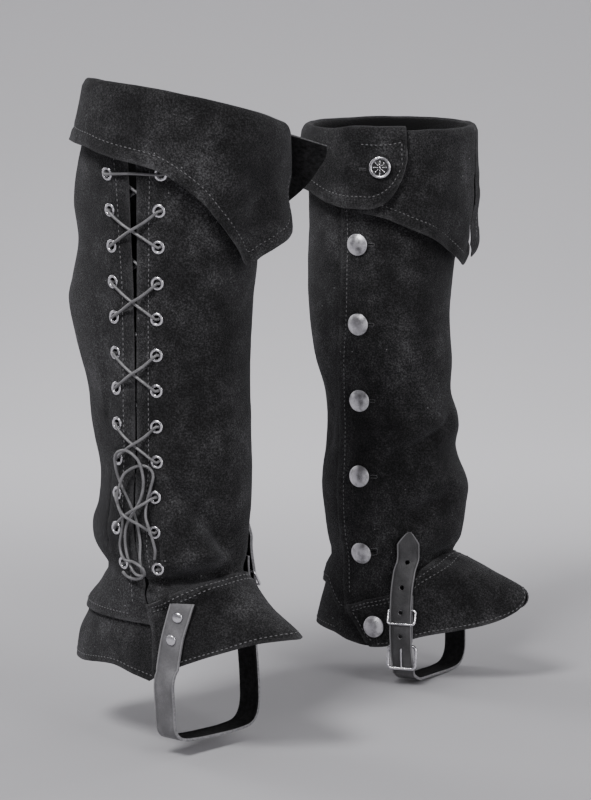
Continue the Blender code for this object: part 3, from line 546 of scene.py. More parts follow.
def cuff_edge(spat, half, angle):
    """Drop and stand-off of the lower edge. The tab lies on the short half and stands off with it."""
    if half == "short_cuff":
        return between(spat.short_cuff, angle)
    drop, stand = between(spat.long_cuff, angle)
    if angle < TAB_FROM:
        under_drop, under_stand = between(spat.short_cuff, angle + 360)
        stand = max(stand, cuff_out(drop, under_drop, under_stand))
    return drop, stand


def smooth_path(points, count):
    """This many points, evenly spaced along a smooth curve through the route's own points."""
    table = [(i, *point) for i, point in enumerate(points)]
    steps = 24 * (len(points) - 1)
    fine = [Vector(between(table, i * (len(points) - 1) / steps)) for i in range(steps + 1)]
    lengths = [0.0]
    for a, b in zip(fine, fine[1:]):
        lengths.append(lengths[-1] + (b - a).length)
    path = []
    j = 0
    for i in range(count):
        want = lengths[-1] * i / (count - 1)
        while j < len(lengths) - 2 and lengths[j + 1] < want:
            j += 1
        t = (want - lengths[j]) / (lengths[j + 1] - lengths[j])
        path.append(fine[j].lerp(fine[j + 1], t))
    return path


def buckle_point(spat, along, up, out):
    """A place by the buckle: along the foot, over the buckle's middle, out from the wall."""
    middle, way, _ = side_point(spat, 1, BUCKLE_FORWARD, spat.buckle + up, out)
    return middle + way * along


def thread(spat, side, row, out):
    """The lace's middle where it goes through an eyelet, this far out."""
    angle = panel_angle(EYELET_ANGLES[side], row)
    return wall_point(spat, angle, shaft_height(spat, angle, row), out)


def lacing_place(spat, along, height, out):
    """A place over the lacing: this far along from the slit."""
    row = (spat.first_eyelet - height) / spat.eyelet_step
    drift = between(LACING_DRIFT, row)[0]
    return wall_point(spat, SLIT_ANGLE + drift + along / DEGREE_LENGTH, height, out)


# ---- camera ----


def make_camera():
    lens = bpy.data.cameras.new("camera")
    lens.sensor_fit = "VERTICAL"
    lens.sensor_height = 36
    lens.lens = CAMERA_LENS
    camera = bpy.data.objects.new("camera", lens)
    camera.location = CAMERA_PLACE
    camera.rotation_euler = (math.radians(CAMERA_TILT), 0, 0)
    bpy.context.scene.collection.objects.link(camera)
    bpy.context.scene.camera = camera


# ---- finishes ----


def finish(name, **sockets):
    """A material whose constant values sit on its shader's own sockets."""
    made = bpy.data.materials.new(name)
    made.use_nodes = True
    shader = made.node_tree.nodes["Principled BSDF"]
    for socket, value in sockets.items():
        shader.inputs[socket.replace("_", " ")].default_value = value
    coords = made.node_tree.nodes.new("ShaderNodeTexCoord").outputs["Object"]
    return made, made.node_tree, shader, coords


def mottle(tree, coords, scale, detail=3.0, roughness=0.55):
    """Cloudy variation, in patches of about 1 / scale metres."""
    found = tree.nodes.new("ShaderNodeTexNoise")
    tree.links.new(coords, found.inputs["Vector"])
    found.inputs["Scale"].default_value = scale
    found.inputs["Detail"].default_value = detail
    found.inputs["Roughness"].default_value = roughness
    return found.outputs["Fac"]


def sums(tree, *terms):
    """The weighted sum of several outputs."""
    total = None
    for output, weight in terms:
        part = tree.nodes.new("ShaderNodeMath")
        part.operation = "MULTIPLY_ADD"
        tree.links.new(output, part.inputs[0])
        part.inputs[1].default_value = weight
        if total is None:
            part.inputs[2].default_value = 0.0
        else:
            tree.links.new(total, part.inputs[2])
        total = part.outputs[0]
    return total


def product(tree, first, second):
    part = tree.nodes.new("ShaderNodeMath")
    part.operation = "MULTIPLY"
    tree.links.new(first, part.inputs[0])
    tree.links.new(second, part.inputs[1])
    return part.outputs[0]


def stretch(tree, value, low, high, to_low=0.0, to_high=1.0):
    """Moves low..high to to_low..to_high, clamped."""
    node = tree.nodes.new("ShaderNodeMapRange")
    tree.links.new(value, node.inputs["Value"])
    sockets = {"From Min": low, "From Max": high, "To Min": to_low, "To Max": to_high}
    for socket, number in sockets.items():
        node.inputs[socket].default_value = number
    return node.outputs["Result"]


def shades(tree, value, stops):
    """Grey shades by value: each stop is a place and its brightness."""
    ramp = tree.nodes.new("ShaderNodeValToRGB")
    tree.links.new(value, ramp.inputs["Fac"])
    while len(ramp.color_ramp.elements) < len(stops):
        ramp.color_ramp.elements.new(0.5)
    for element, (place, grey) in zip(ramp.color_ramp.elements, stops):
        element.position = place
        element.color = (grey, grey * 0.985, grey * 1.03, 1.0)
    return ramp.outputs["Color"]


def toward(tree, share, first, grey):
    """first, mixed toward a grey by share."""
    node = tree.nodes.new("ShaderNodeMix")
    node.data_type = "RGBA"
    tree.links.new(share, node.inputs["Factor"])
    tree.links.new(first, node.inputs["A"])
    node.inputs["B"].default_value = (grey, grey * 0.985, grey * 1.02, 1.0)
    return node.outputs["Result"]


def raised(tree, shader, height, depth, strength=1.0):
    """Fine relief, depth metres from its lowest to its highest."""
    bump = tree.nodes.new("ShaderNodeBump")
    bump.inputs["Distance"].default_value = depth
    bump.inputs["Strength"].default_value = strength
    tree.links.new(height, bump.inputs["Height"])
    tree.links.new(bump.outputs["Normal"], shader.inputs["Normal"])


def attribute(tree, name):
    node = tree.nodes.new("ShaderNodeAttribute")
    node.attribute_name = name
    return node.outputs["Fac"]


def plain_finish(name, scale, stops, relief, detail, rough, **sockets):
    """One fine pattern that sets both the shade and the relief."""
    made, tree, shader, coords = finish(name, **sockets)
    fibre = mottle(tree, coords, scale, detail, rough)
    tree.links.new(shades(tree, fibre, stops), shader.inputs["Base Color"])
    raised(tree, shader, fibre, relief)
    return made


def suede_finish():
    """Charcoal suede: brushed nap in patches, paler where edges are rubbed, a few specks of lint, and
    painted shade on the cuff's turn inside the opening.
    """
    made, tree, shader, coords = finish(
        "suede",
        Roughness=0.95,
        Sheen_Weight=0.12,
        Sheen_Roughness=0.4,
        Sheen_Tint=(0.8, 0.8, 0.85, 1.0),
        Specular_IOR_Level=0.15,
    )
    cloud = mottle(tree, coords, 11.0, 3.0)
    patch = mottle(tree, coords, 42.0, 5.0, 0.65)
    nap = mottle(tree, coords, 640.0, 5.0, 0.75)
    # Painted shade: the inside mark darkens the cuff's turn into the shaft's opening.
    inside = attribute(tree, "inside")
    parts = ((stretch(tree, cloud, 0.34, 0.66), 0.24), (stretch(tree, patch, 0.34, 0.66), 0.28))
    tone = sums(tree, *parts, (stretch(tree, nap, 0.38, 0.62), 0.52), (inside, -0.6))
    colour = shades(tree, tone, SUEDE_SHADES)
    rubbed = stretch(tree, attribute(tree, "edge"), 0.0, 5.0, 0.55, 0.0)
    rubbed = product(tree, rubbed, stretch(tree, patch, 0.35, 0.65))
    colour = toward(tree, rubbed, colour, 0.085)
    specks = tree.nodes.new("ShaderNodeTexVoronoi")
    specks.inputs["Scale"].default_value = 75.0
    tree.links.new(coords, specks.inputs["Vector"])
    lint = stretch(tree, specks.outputs["Distance"], 0.04, 0.06, 1.0, 0.0)
    lint = product(tree, lint, stretch(tree, cloud, 0.5, 0.58, 0.0, 0.8))
    colour = toward(tree, lint, colour, 0.30)
    tree.links.new(colour, shader.inputs["Base Color"])
    pile = mottle(tree, coords, 1100.0, 3.0, 0.7)
    raised(tree, shader, sums(tree, (pile, 0.5), (nap, 0.7)), 0.0016)
    return made


def strap_finish():
    """Waxed strap leather: paler and drier towards the riveted end, with a fine grain."""
    made, tree, shader, coords = finish("strap_leather", Roughness=0.4, Specular_IOR_Level=0.5)
    along = attribute(tree, "along")
    patch = mottle(tree, coords, 60.0, 4.0)
    grain = mottle(tree, coords, 700.0, 4.0, 0.7)
    blotch = stretch(tree, patch, 0.35, 0.65)
    worn = sums(tree, (stretch(tree, along, 0.30, 0.62, 1.0, 0.0), 0.5), (blotch, 0.22), (grain, 0.35))
    colour = shades(tree, worn, ((0.15, 0.035), (0.4, 0.075), (0.75, 0.14), (1.0, 0.24)))
    rubbed = stretch(tree, attribute(tree, "edge"), 0.0, 1.2, 0.7, 0.0)
    colour = toward(tree, rubbed, colour, 0.34)
    tree.links.new(colour, shader.inputs["Base Color"])
    raised(tree, shader, sums(tree, (grain, 0.7), (patch, 0.6)), 0.0009, 0.8)
    return made


def metal_finish(name, bright, roughness, patina):
    """Silver-coloured metal with a little unevenness from handling."""
    made, tree, shader, coords = finish(name, Metallic=1.0)
    patch = mottle(tree, coords, 170.0, 4.0)
    scuff = mottle(tree, coords, 1300.0, 2.0)
    stops = ((0.36, bright * (1 - patina)), (0.56, bright))
    tone = sums(tree, (patch, 0.7), (scuff, 0.3))
    tree.links.new(shades(tree, tone, stops), shader.inputs["Base Color"])
    rough = stretch(tree, patch, 0.3, 0.7, roughness * 0.8, roughness * 1.25)
    tree.links.new(rough, shader.inputs["Roughness"])
    raised(tree, shader, sums(tree, (scuff, 0.3), (patch, 0.7)), 0.0006, 0.35)
    return made


def lace_finish():
    """Round waxed lace, light grey, with a fine braid."""
    made, tree, shader, coords = finish("lace_cord", Roughness=0.32, Specular_IOR_Level=0.7)
    patch = mottle(tree, coords, 120.0, 3.0)
    braid = mottle(tree, coords, 1500.0, 2.0)
    colour = shades(tree, sums(tree, (patch, 0.6), (braid, 0.4)), ((0.3, 0.09), (0.7, 0.24)))
    tree.links.new(colour, shader.inputs["Base Color"])
    raised(tree, shader, braid, 0.0003, 0.5)
    return made


def floor_finish():
    made, tree, shader, coords = finish("studio_floor", Roughness=0.9, Specular_IOR_Level=0.1)
    patch = mottle(tree, coords, 0.8, 2.0)
    stops = ((0.3, FLOOR_GREY * 0.97), (0.7, FLOOR_GREY))
    tree.links.new(shades(tree, patch, stops), shader.inputs["Base Color"])
    return made


# ---- soft ripples of the hide ----


def round_place(spat, angle, height):
    """Where the noise is read: each spat has its own part of it."""
    turn = math.radians(angle)
    return Vector((LEG_RADIUS * math.cos(turn), LEG_RADIUS * math.sin(turn) + spat.grain, height))


def ripple(spat, angle, height):
    """The unevenness of soft hide filled out by a leg; the foot only gives inwards, under its strap."""
    place = round_place(spat, angle, height)
    wave = sum(tall * noise.noise(place / length) for tall, length in RIPPLES)
    shaft = ease(spat.seam - 5, spat.seam + 50, height)
    return wave * shaft + (wave - FOOT_SINK) * FOOT_SHARE * (1 - shaft)


def hide_point(spat, angle, height, out=0.0):
    """A place on the wall as the hide really lies there."""
    return wall_point(spat, angle, height, out + ripple(spat, angle, height))


# ---- cloth panels ----


def spaced(marks, widest):
    """These marks in order, with more between any two that are further apart than this."""
    marks = sorted(set(marks))
    found = []
    for a, b in zip(marks, marks[1:]):
        steps = max(1, math.ceil((b - a) / widest - 1e-6))
        found += [a + (b - a) * i / steps for i in range(steps)]
    return (*found, marks[-1])


def as_piece(name, bm, *finishes, smooth=True):
    """Puts a finished bmesh in the scene as one piece that rides with the frame."""
    mesh = bpy.data.meshes.new(name)
    bm.to_mesh(mesh)
    bm.free()
    for made in finishes:
        mesh.materials.append(made)
    if smooth:
        mesh.shade_smooth()
    piece = bpy.data.objects.new(name, mesh)
    bpy.context.scene.collection.objects.link(piece)
    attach(piece, "root")
    return piece


def wall_and_edge(piece, thickness, round_off):
    """Gives a sheet its thickness, its cut edge its own finish, its inner side a near-black finish as
    painted shade, and its corners a small round.
    """
    wall = piece.modifiers.new("wall", "SOLIDIFY")
    wall.thickness = thickness * MM
    wall.offset = 0.0
    wall.use_quality_normals = True
    # Painted shade: the inner side gets the third finish, the flesh side painted nearly black.
    wall.material_offset = 2
    wall.material_offset_rim = 1
    corner = piece.modifiers.new("corner", "BEVEL")
    corner.width = round_off * MM
    corner.segments = 2
    corner.limit_method = "ANGLE"
    corner.angle_limit = math.radians(50)


def gridded(spat, columns, rows, place, holes=(), slits=(), radius=HOLE_RADIUS):
    """A sheet laid out as a grid and moved to its place, with round holes and narrow slits cut in it."""
    bm = bmesh.new()
    bmesh.ops.create_grid(bm, x_segments=len(columns) - 1, y_segments=len(rows) - 1, size=1.0)
    edge = bm.verts.layers.float.new("edge")
    inside = bm.verts.layers.float.new("inside")
    grid, index = {}, {}
    for vert in bm.verts:
        i = round((vert.co.x + 1) / 2 * (len(columns) - 1))
        j = round((vert.co.y + 1) / 2 * (len(rows) - 1))
        grid[i, j], index[vert] = vert, (i, j)
        vert.co = spat.to_world(place(columns[i], rows[j]))
        # Painted shade: the cuff's first rows, turned into the shaft's opening, are marked to be darkened.
        vert[inside] = 1.0 if rows[-1] == 5 and rows[j] < 1.6 else 0.0
    for (i, j), vert in grid.items():
        ends = (grid[0, j], grid[len(columns) - 1, j], grid[i, 0], grid[i, len(rows) - 1])
        vert[edge] = min((vert.co - end.co).length for end in ends) / MM
    for start, end, row, half in slits:
        gone = []
        for face in bm.faces:
            places = [index[vert] for vert in face.verts]
            across = all(start - 0.01 <= columns[i] <= end + 0.01 for i, _ in places)
            if across and all(abs(rows[j] - row) < half * 1.05 for _, j in places):
                gone.append(face)
        bmesh.ops.delete(bm, geom=gone, context="FACES")
    for column, row, wide, tall in holes:
        centre = spat.to_world(place(column, row))
        inner = []
        for (i, j), vert in grid.items():
            if not vert.is_valid:
                continue
            across, down = abs(columns[i] - column) / wide, abs(rows[j] - row) / tall
            if max(across, down) < 0.98:
                inner.append(vert)
            elif max(across, down) < 1.02:
                vert.co = centre + (vert.co - centre).normalized() * radius * MM
                vert[edge] = 0.5
        bmesh.ops.delete(bm, geom=inner, context="VERTS")
    loose = [vert for vert in bm.verts if not vert.link_faces]
    bmesh.ops.delete(bm, geom=loose, context="VERTS")
    face_outward(bm, spat)
    return bm


def face_outward(bm, spat):
    """Turns an open sheet's faces away from the leg, so that the wall's inner side is the inside."""
    bmesh.ops.recalc_face_normals(bm, faces=bm.faces)
    away = 0.0
    for face in bm.faces:
        middle = face.calc_center_median()
        level = middle - spat.to_world(Vector((40, 0, middle.z / MM)))
        away += face.normal.dot(level.normalized()) * face.calc_area()
    if away < 0:
        bmesh.ops.reverse_faces(bm, faces=bm.faces)


def make_panel(spat, name, columns, rows, place, held="stretched", **cuts):
    bm = gridded(spat, columns, rows, lambda column, row: place(spat, column, row), **cuts)
    # The third finish is the flesh side, painted nearly black as the shade inside the shaft.
    finishes = (FINISH["suede"], FINISH["suede_edge"], FINISH["flesh_shade"])
    piece = as_piece(f"{spat.name}_{name}_cloth", bm, *finishes)
    wall_and_edge(piece, WALL, CLOTH_ROUND)
    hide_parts(f"{spat.name}_{name}")
    return piece


def front_place(spat, angle, row):
    angle = panel_angle(angle, row)
    return hide_point(spat, angle, shaft_height(spat, angle, row), front_out(angle))


def back_place(spat, angle, row):
    angle = panel_angle(angle, row)
    return hide_point(spat, angle, shaft_height(spat, angle, row), 0.0)


def vamp_cloth(spat, angle, row):
    angle, height = vamp_place(spat, angle, row)
    return hide_point(spat, angle, height, front_out(angle) + VAMP_OUT)


def heel_cloth(spat, angle, row):
    height = foot_height(spat, angle, spat.heel_seam + SEAM_TURN, row)
    return hide_point(spat, angle, height, -VAMP_OUT * (1 - ease(FOOT_SEAM_ROW, 0.6, row)))


def make_shaft(spat):
    wide = HOLE_RADIUS / DEGREE_LENGTH
    tall = HOLE_RADIUS / spat.eyelet_step
    slit = SLIT_HALF / spat.eyelet_step
    eyelet_rows = list(range(EYELET_ROWS))
    marks = [-1.0, *eyelet_rows, SEAM_ROW, LAST_ROW]
    marks += [row + way * tall for row in eyelet_rows for way in (-1, 1)]
    back_rows = spaced(marks, SHAFT_STEPS[1])
    marks += [row + way * reach for row in BUTTON_ROWS for reach in (tall, slit) for way in (-1, 1)]
    marks = [mark for mark in marks if mark <= LAST_ROW]
    front_rows = spaced(marks, SHAFT_STEPS[1])
    columns = [SLIT_ANGLE, EYELET_ANGLES[1] - wide, EYELET_ANGLES[1], EYELET_ANGLES[1] + wide]
    columns += [BUTTON_ANGLE - SLIT_REACH, BUTTON_ANGLE - wide, BUTTON_ANGLE, BUTTON_ANGLE + wide]
    columns = spaced([*columns, FLY_ANGLE], SHAFT_STEPS[0])
    holes = [(EYELET_ANGLES[1], row, wide, tall) for row in eyelet_rows]
    holes += [(BUTTON_ANGLE, row, wide, tall) for row in BUTTON_ROWS]
    slits = [(BUTTON_ANGLE - SLIT_REACH, BUTTON_ANGLE - wide, row, slit) for row in BUTTON_ROWS]
    make_panel(spat, "front_panel", columns, front_rows, front_place, holes=holes, slits=slits)
    eyelet = EYELET_ANGLES[0] + 360
    columns = (UNDERLAP_ANGLE, eyelet - wide, eyelet, eyelet + wide, SLIT_ANGLE + 360)
    columns = spaced(columns, SHAFT_STEPS[0])
    holes = [(eyelet, row, wide, tall) for row in eyelet_rows]
    make_panel(spat, "back_panel", columns, back_rows, back_place, holes=holes)


def make_foot(spat):
    wide, tall = VAMP_HOLE
    columns = [SLIT_ANGLE, VAMP_LEAN_FROM, VAMP_BUTTON - SLIT_REACH]
    columns += [VAMP_BUTTON - wide, VAMP_BUTTON, VAMP_BUTTON + wide, FLY_ANGLE]
    columns = spaced(columns, VAMP_STEPS[0])
    rows = [0, FOOT_SEAM_ROW, VAMP_BUTTON_ROW, 1]
    rows += [VAMP_BUTTON_ROW + way * reach for reach in (tall, VAMP_SLIT_HALF) for way in (-1, 1)]
    rows = spaced(rows, VAMP_STEPS[1])
    cuts = {
        "holes": [(VAMP_BUTTON, VAMP_BUTTON_ROW, wide, tall)],
        "slits": [(VAMP_BUTTON - SLIT_REACH - 3, VAMP_BUTTON - wide, VAMP_BUTTON_ROW, VAMP_SLIT_HALF)],
        "radius": VAMP_HOLE_RADIUS,
    }
    make_panel(spat, "vamp", columns, rows, vamp_cloth, **cuts)
    columns = spaced((UNDERLAP_ANGLE, HEEL_END), HEEL_STEPS[0])
    make_panel(spat, "heel_piece", columns, spaced((0, FOOT_SEAM_ROW, 1), HEEL_STEPS[1]), heel_cloth)


def cuff_place(spat, half, angle, row):
    """Rows 0 to 4 are the turn over the rim, 4 to 5 the part that hangs free."""
    layer = TAB_LAYER * (1 - ease(TAB_FROM, TAB_FROM + 18, angle)) if half == "long_cuff" else 0.0
    last = len(CUFF_TURN) - 1
    edge_drop, stand = cuff_edge(spat, half, angle)
    start_out, start_up = CUFF_TURN[-1]
    if row <= last:
        table = []
        for i, (out, up) in enumerate(CUFF_TURN):
            out += front_out(angle) + layer if out > 0 else -layer
            table.append((i, out, up + (layer if up > 0 else 0)))
        out, up = between(table, row)
        drop = -up
    else:
        drop = -start_up + (edge_drop + start_up) * (row - last)
        out = cuff_out(drop, edge_drop, stand) + front_out(angle) + layer
        place = round_place(spat, angle, drop)
        long_sway, short_sway = (noise.noise(place / length) for length in CUFF_SWAY_LENGTHS)
        out += CUFF_SWAY * (long_sway + 0.4 * short_sway) * ease(6, 70, drop)
        from_seam = drop - (edge_drop - CUFF_SEAM_IN)
        out += SEAM_RIDGE * ease(0, 4, from_seam)
        out -= SEAM_GROOVE * math.exp(-((from_seam / GROOVE_HALF) ** 2))
    height = rim_height(spat, angle) - drop
    height += CUFF_RIM_SWAY * noise.noise(round_place(spat, angle, 0) / CUFF_RIM_LENGTH)
    return section_point(spat, angle, height) + level_normal(spat, angle, height) * out


def long_place(spat, column, row):
    return cuff_place(spat, "long_cuff", column, row)


def short_place(spat, column, row):
    return cuff_place(spat, "short_cuff", column, row)


def make_cuffs(spat):
    turn_rows = (0, 0.5, *(1 + i / 4 for i in range(13)))
    rows = (*turn_rows, *(4 + (i + 1) / CUFF_HANG_ROWS for i in range(CUFF_HANG_ROWS)))
    tab = [angle - 360 for angle in TAB_COLUMNS]
    around = [row[0] for row in spat.long_cuff if row[0] > tab[0] + 3]
    columns = spaced([*around, *tab, RING_ANGLE - 360], CUFF_COLUMN_STEPS[0])
    make_panel(spat, "long_cuff", columns, rows, long_place, held="folded")
    front = [row[0] for row in spat.short_cuff if row[0] < TAB_COLUMNS[-2] - 4]
    columns = spaced([*TAB_COLUMNS[:-1], *front], CUFF_COLUMN_STEPS[1])
    make_panel(spat, "short_cuff", columns, rows, short_place, held="folded")


# ---- stitching ----


def surface_way(spat, place, column, row):
    """A place on a panel and the way out of it there, in the room."""
    middle = spat.to_world(place(spat, column, row))
    left, right, above, below = (
        spat.to_world(place(spat, column + aside, row + lower))
        for aside, lower in ((-0.5, 0), (0.5, 0), (0, -0.02), (0, 0.02))
    )
    across, down = right - left, below - above
    normal = across.cross(down).normalized()
    away = middle - spat.to_world(Vector((0, 0, middle.z / MM)))
    return middle, normal if normal.dot(away) > 0 else -normal


def sew(spat, bm, place, route, pitch=STITCH_PITCH, length=2.8, width=0.5):
    """A line of stitches along a route of (column, row) points on a panel."""
    fine = []
    for (c0, r0), (c1, r1) in zip(route, route[1:]):
        steps = max(2, math.ceil(max(abs(c1 - c0) / 1.2, abs(r1 - r0) / 0.04)))
        fine += [(c0 + (c1 - c0) * i / steps, r0 + (r1 - r0) * i / steps) for i in range(steps)]
    fine.append(route[-1])
    points = [spat.to_world(place(spat, *spot)) for spot in fine]
    run = [0.0]
    for a, b in zip(points, points[1:]):
        run.append(run[-1] + (b - a).length / MM)
    k = 0
    for i in range(int(run[-1] / pitch)):
        want = (i + 0.5) * pitch
        while run[k + 1] < want:
            k += 1
        share = (want - run[k]) / (run[k + 1] - run[k])
        column = fine[k][0] + (fine[k + 1][0] - fine[k][0]) * share
        row = fine[k][1] + (fine[k + 1][1] - fine[k][1]) * share
        middle, normal = surface_way(spat, place, column, row)
        along = (points[k + 1] - points[k]).normalized()
        side = normal.cross(along).normalized()
        turn = Matrix((along, side, normal)).transposed().to_4x4()
        size = Matrix.Diagonal((length / 2 * MM, width * MM, width * 0.8 * MM, 1.0))
        spot = Matrix.Translation(middle + normal * STITCH_LIFT * MM)
        bmesh.ops.create_uvsphere(bm, u_segments=6, v_segments=4, radius=1.0, matrix=spot @ turn @ size)


def sewn_piece(spat, name, lines):
    bm = bmesh.new()
    for place, route, *look in lines:
        sew(spat, bm, place, route, *look)
    piece = as_piece(f"{spat.name}_{name}_stitches", bm, FINISH["thread"])


def cuff_route(spat, half, inset, columns):
    """A line this far in from the lower edge of a cuff."""
    route = []
    for column in columns:
        drop = cuff_edge(spat, half, column)[0] + CUFF_TURN[-1][1]
        route.append((column, 5 - inset / max(drop, 20)))
    return route


def sew_shaft(spat):
    low = SEAM_ROW - 0.12
    fly = [(FLY_SEAM, row) for row in (0.1, 2, 4, 6, 8, 10, low)]
    slit = [(SLIT_SEAMS[0], -0.4), (SLIT_SEAMS[0], low)]
    lines = [(front_place, slit), (front_place, fly)]
    start, end = BUTTON_ANGLE - SLIT_REACH - 1.0, BUTTON_ANGLE - 7.5
    for row in BUTTON_ROWS:
        for level in (row - 0.045, row + 0.045):
            lines.append((front_place, [(start, level), (end, level)], *BUTTONHOLE_STITCH))
        lines.append((front_place, [(start, row - 0.04), (start, row + 0.04)], *BUTTONHOLE_STITCH))
    sewn_piece(spat, "front_panel", lines)
    slit = [(SLIT_SEAMS[1], -0.4), (SLIT_SEAMS[1], low)]
    heel = [(115, HEEL_SEAM_ROW), (SLIT_SEAMS[1], HEEL_SEAM_ROW)]
    sewn_piece(spat, "back_panel", [(back_place, slit), (back_place, heel)])


def sew_foot(spat):
    lines = [(vamp_cloth, [(column, row) for column in range(-78, 109, 6)]) for row in VAMP_SEAMS]
    lines.append((vamp_cloth, [(107, 0.12), (107, 0.92)]))
    sewn_piece(spat, "vamp", lines)
    sewn_piece(spat, "heel_piece", [(heel_cloth, [(120, 0.9), (280, 0.9)])])


def sew_cuffs(spat):
    tab_edge = TAB_COLUMNS[-2] - 360
    top = spat.long_cuff[0][0]
    columns = [top - 8 - i * (top - 8 - tab_edge) / 80 for i in range(81)]
    hem = cuff_route(spat, "long_cuff", CUFF_SEAM_IN, columns)
    first, last = hem[0], hem[-1]
    lines = [(long_place, hem), (long_place, [first, (first[0], first[1] - 0.42)])]
    lines.append((long_place, [last, (tab_edge, 4.12)]))
    lines.append((long_place, [(tab_edge, 4.12), (tab_edge + 28, 4.10)]))
    start = RING_ANGLE - 360 + 8.5
    for side in (-1, 1):
        level = 4 + RING_DROP / 70 + side * 0.012
        lines.append((long_place, [(start, level), (start + 5, level)], *BUTTONHOLE_STITCH))
    sewn_piece(spat, "long_cuff", lines)
    front = spat.short_cuff[-1][0] + 7
    columns = [80 - i * (80 - front) / 30 for i in range(31)]
    hem = cuff_route(spat, "short_cuff", CUFF_SEAM_IN, columns)
    sewn_piece(spat, "short_cuff", [(short_place, hem)])


# ---- straps ----


def strap_piece(spat, name, stations, thickness, holes=()):
    """A strap through stations of (middle, vector to its edge), with creased lines inside its edges."""
    half_across = (HOLE_ACROSS, 0.5, 0.76, CREASE_AT, 0.92, 1)
    across = (*(-share for share in reversed(half_across)), 0, *half_across)
    bm = bmesh.new()
    bmesh.ops.create_grid(bm, x_segments=len(across) - 1, y_segments=len(stations) - 1, size=1.0)
    edge = bm.verts.layers.float.new("edge")
    share = bm.verts.layers.float.new("along")
    grid = {}
    for vert in bm.verts:
        i = round((vert.co.x + 1) / 2 * (len(across) - 1))
        j = round((vert.co.y + 1) / 2 * (len(stations) - 1))
        middle, half = stations[j]
        before, after = stations[max(j - 1, 0)][0], stations[min(j + 1, len(stations) - 1)][0]
        normal = half.cross(after - before).normalized()
        if normal.dot(middle - Vector((middle.x, 0, spat.buckle + CREASE_CENTRE_UP))) < 0:
            normal = -normal
        sink = -CREASE_DEPTH if abs(across[i]) == CREASE_AT else 0.0
        vert.co = spat.to_world(middle + half * across[i] + normal * sink)
        vert[edge] = (1 - abs(across[i])) * half.length
        vert[share] = j / (len(stations) - 1)
        grid[i, j] = vert
    for j in holes:
        middle = len(across) // 2
        centre = grid[middle, j].co.copy()
        for i in (middle - 1, middle, middle + 1):
            for k in (j - 1, j, j + 1):
                if (i, k) != (middle, j):
                    vert = grid[i, k]
                    vert.co = centre + (vert.co - centre).normalized() * STRAP_HOLE * MM
                    vert[edge] = 1.0
        bmesh.ops.delete(bm, geom=[grid[middle, j]], context="VERTS")
    bmesh.ops.recalc_face_normals(bm, faces=bm.faces)
    bm.normal_update()
    within = spat.to_world(Vector((STRAP_LOOP[0], 0, spat.seam - STRAP_LOOP[1])))
    away = 0.0
    for face in bm.faces:
        away += face.normal.dot(face.calc_center_median() - within) * face.calc_area()
    if away < 0:
        bmesh.ops.reverse_faces(bm, faces=bm.faces)
    # The third finish is the strap's flesh side, painted nearly black as the shade under the foot.
    finishes = (FINISH["strap"], FINISH["strap_edge"], FINISH["strap_flesh_shade"])
    piece = as_piece(f"{spat.name}_{name}_leather", bm, *finishes)
    wall_and_edge(piece, thickness, STRAP_ROUND)
    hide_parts(f"{spat.name}_{name}")


def make_straps(spat):
    half = STRAP_WIDTH / 2
    stations = []
    table = [(-up, forward, out) for forward, up, out in STRAP_INNER]
    top, last = table[0][0], table[-1][0]
    for i in range(17):
        down = top + (last - top) * i / 16
        forward, out = between(table, down)
        middle, along, _ = side_point(spat, -1, forward + spat.inner_lean, spat.seam - down, out)
        stations.append((middle, along * half))
    rows = STRAP_OUTER + spat.strap_tail
    table = [(up, forward, out) for forward, up, out in rows]
    tip = table[-1][0]
    levels = [table[0][0], tip]
    for up in STRAP_HOLES:
        if up < tip - HOLE_CLEAR:
            levels += [up - STRAP_HOLE, up, up + STRAP_HOLE]
    levels += [tip - drop for drop in POINT_DROPS]
    levels = spaced(levels, STRAP_STEP)
    outer = []
    for up in levels:
        forward, out = between(table, up)
        middle, along, _ = side_point(spat, 1, forward, spat.buckle + up, out)
        taper = min(1.0, 0.16 + 0.84 * (max(tip - up, 0) / 11.5) ** 0.8)
        outer.append((middle, along * half * taper))
    route = [stations[-1][0], *(Vector(point) for point in spat.sole_route), outer[0][0]]
    sole = [(middle, Vector((half, 0, 0))) for middle in smooth_path(route, 64)[1:-1]]
    whole = stations + sole + outer
    holes = [len(stations) + len(sole) + levels.index(up) for up in STRAP_HOLES if up < tip - HOLE_CLEAR]
    strap_piece(spat, "under_strap", whole, STRAP_THICK, holes)
    chape = []
    for up in spaced(CHAPE_HEIGHTS, STRAP_STEP):
        middle, along, _ = side_point(spat, 1, BUCKLE_FORWARD, spat.buckle + up, CHAPE_OUT)
        chape.append((middle, along * CHAPE_WIDTH / 2))
    strap_piece(spat, "chape", chape, CHAPE_THICK)


# ---- metal ----


def wire(spat, name, points, radius, closed, made):
    """A round wire or cord through these points."""
    curve = bpy.data.curves.new(name, "CURVE")
    curve.dimensions = "3D"
    curve.bevel_depth = radius * MM
    curve.bevel_resolution = 3
    curve.use_fill_caps = True
    spline = curve.splines.new("POLY")
    spline.points.add(len(points) - 1)
    for corner, point in zip(spline.points, points):
        corner.co = (*spat.to_world(point), 1.0)
    spline.use_cyclic_u = closed
    spline.use_smooth = True
    curve.materials.append(made)
    piece = bpy.data.objects.new(name, curve)
    bpy.context.scene.collection.objects.link(piece)
    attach(piece, "root")
    return piece


def wire_piece(spat, node, points, radius, closed):
    piece = wire(spat, f"{spat.name}_{node}_wire", points, radius, closed, FINISH["bright"])
    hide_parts(f"{spat.name}_{node}")


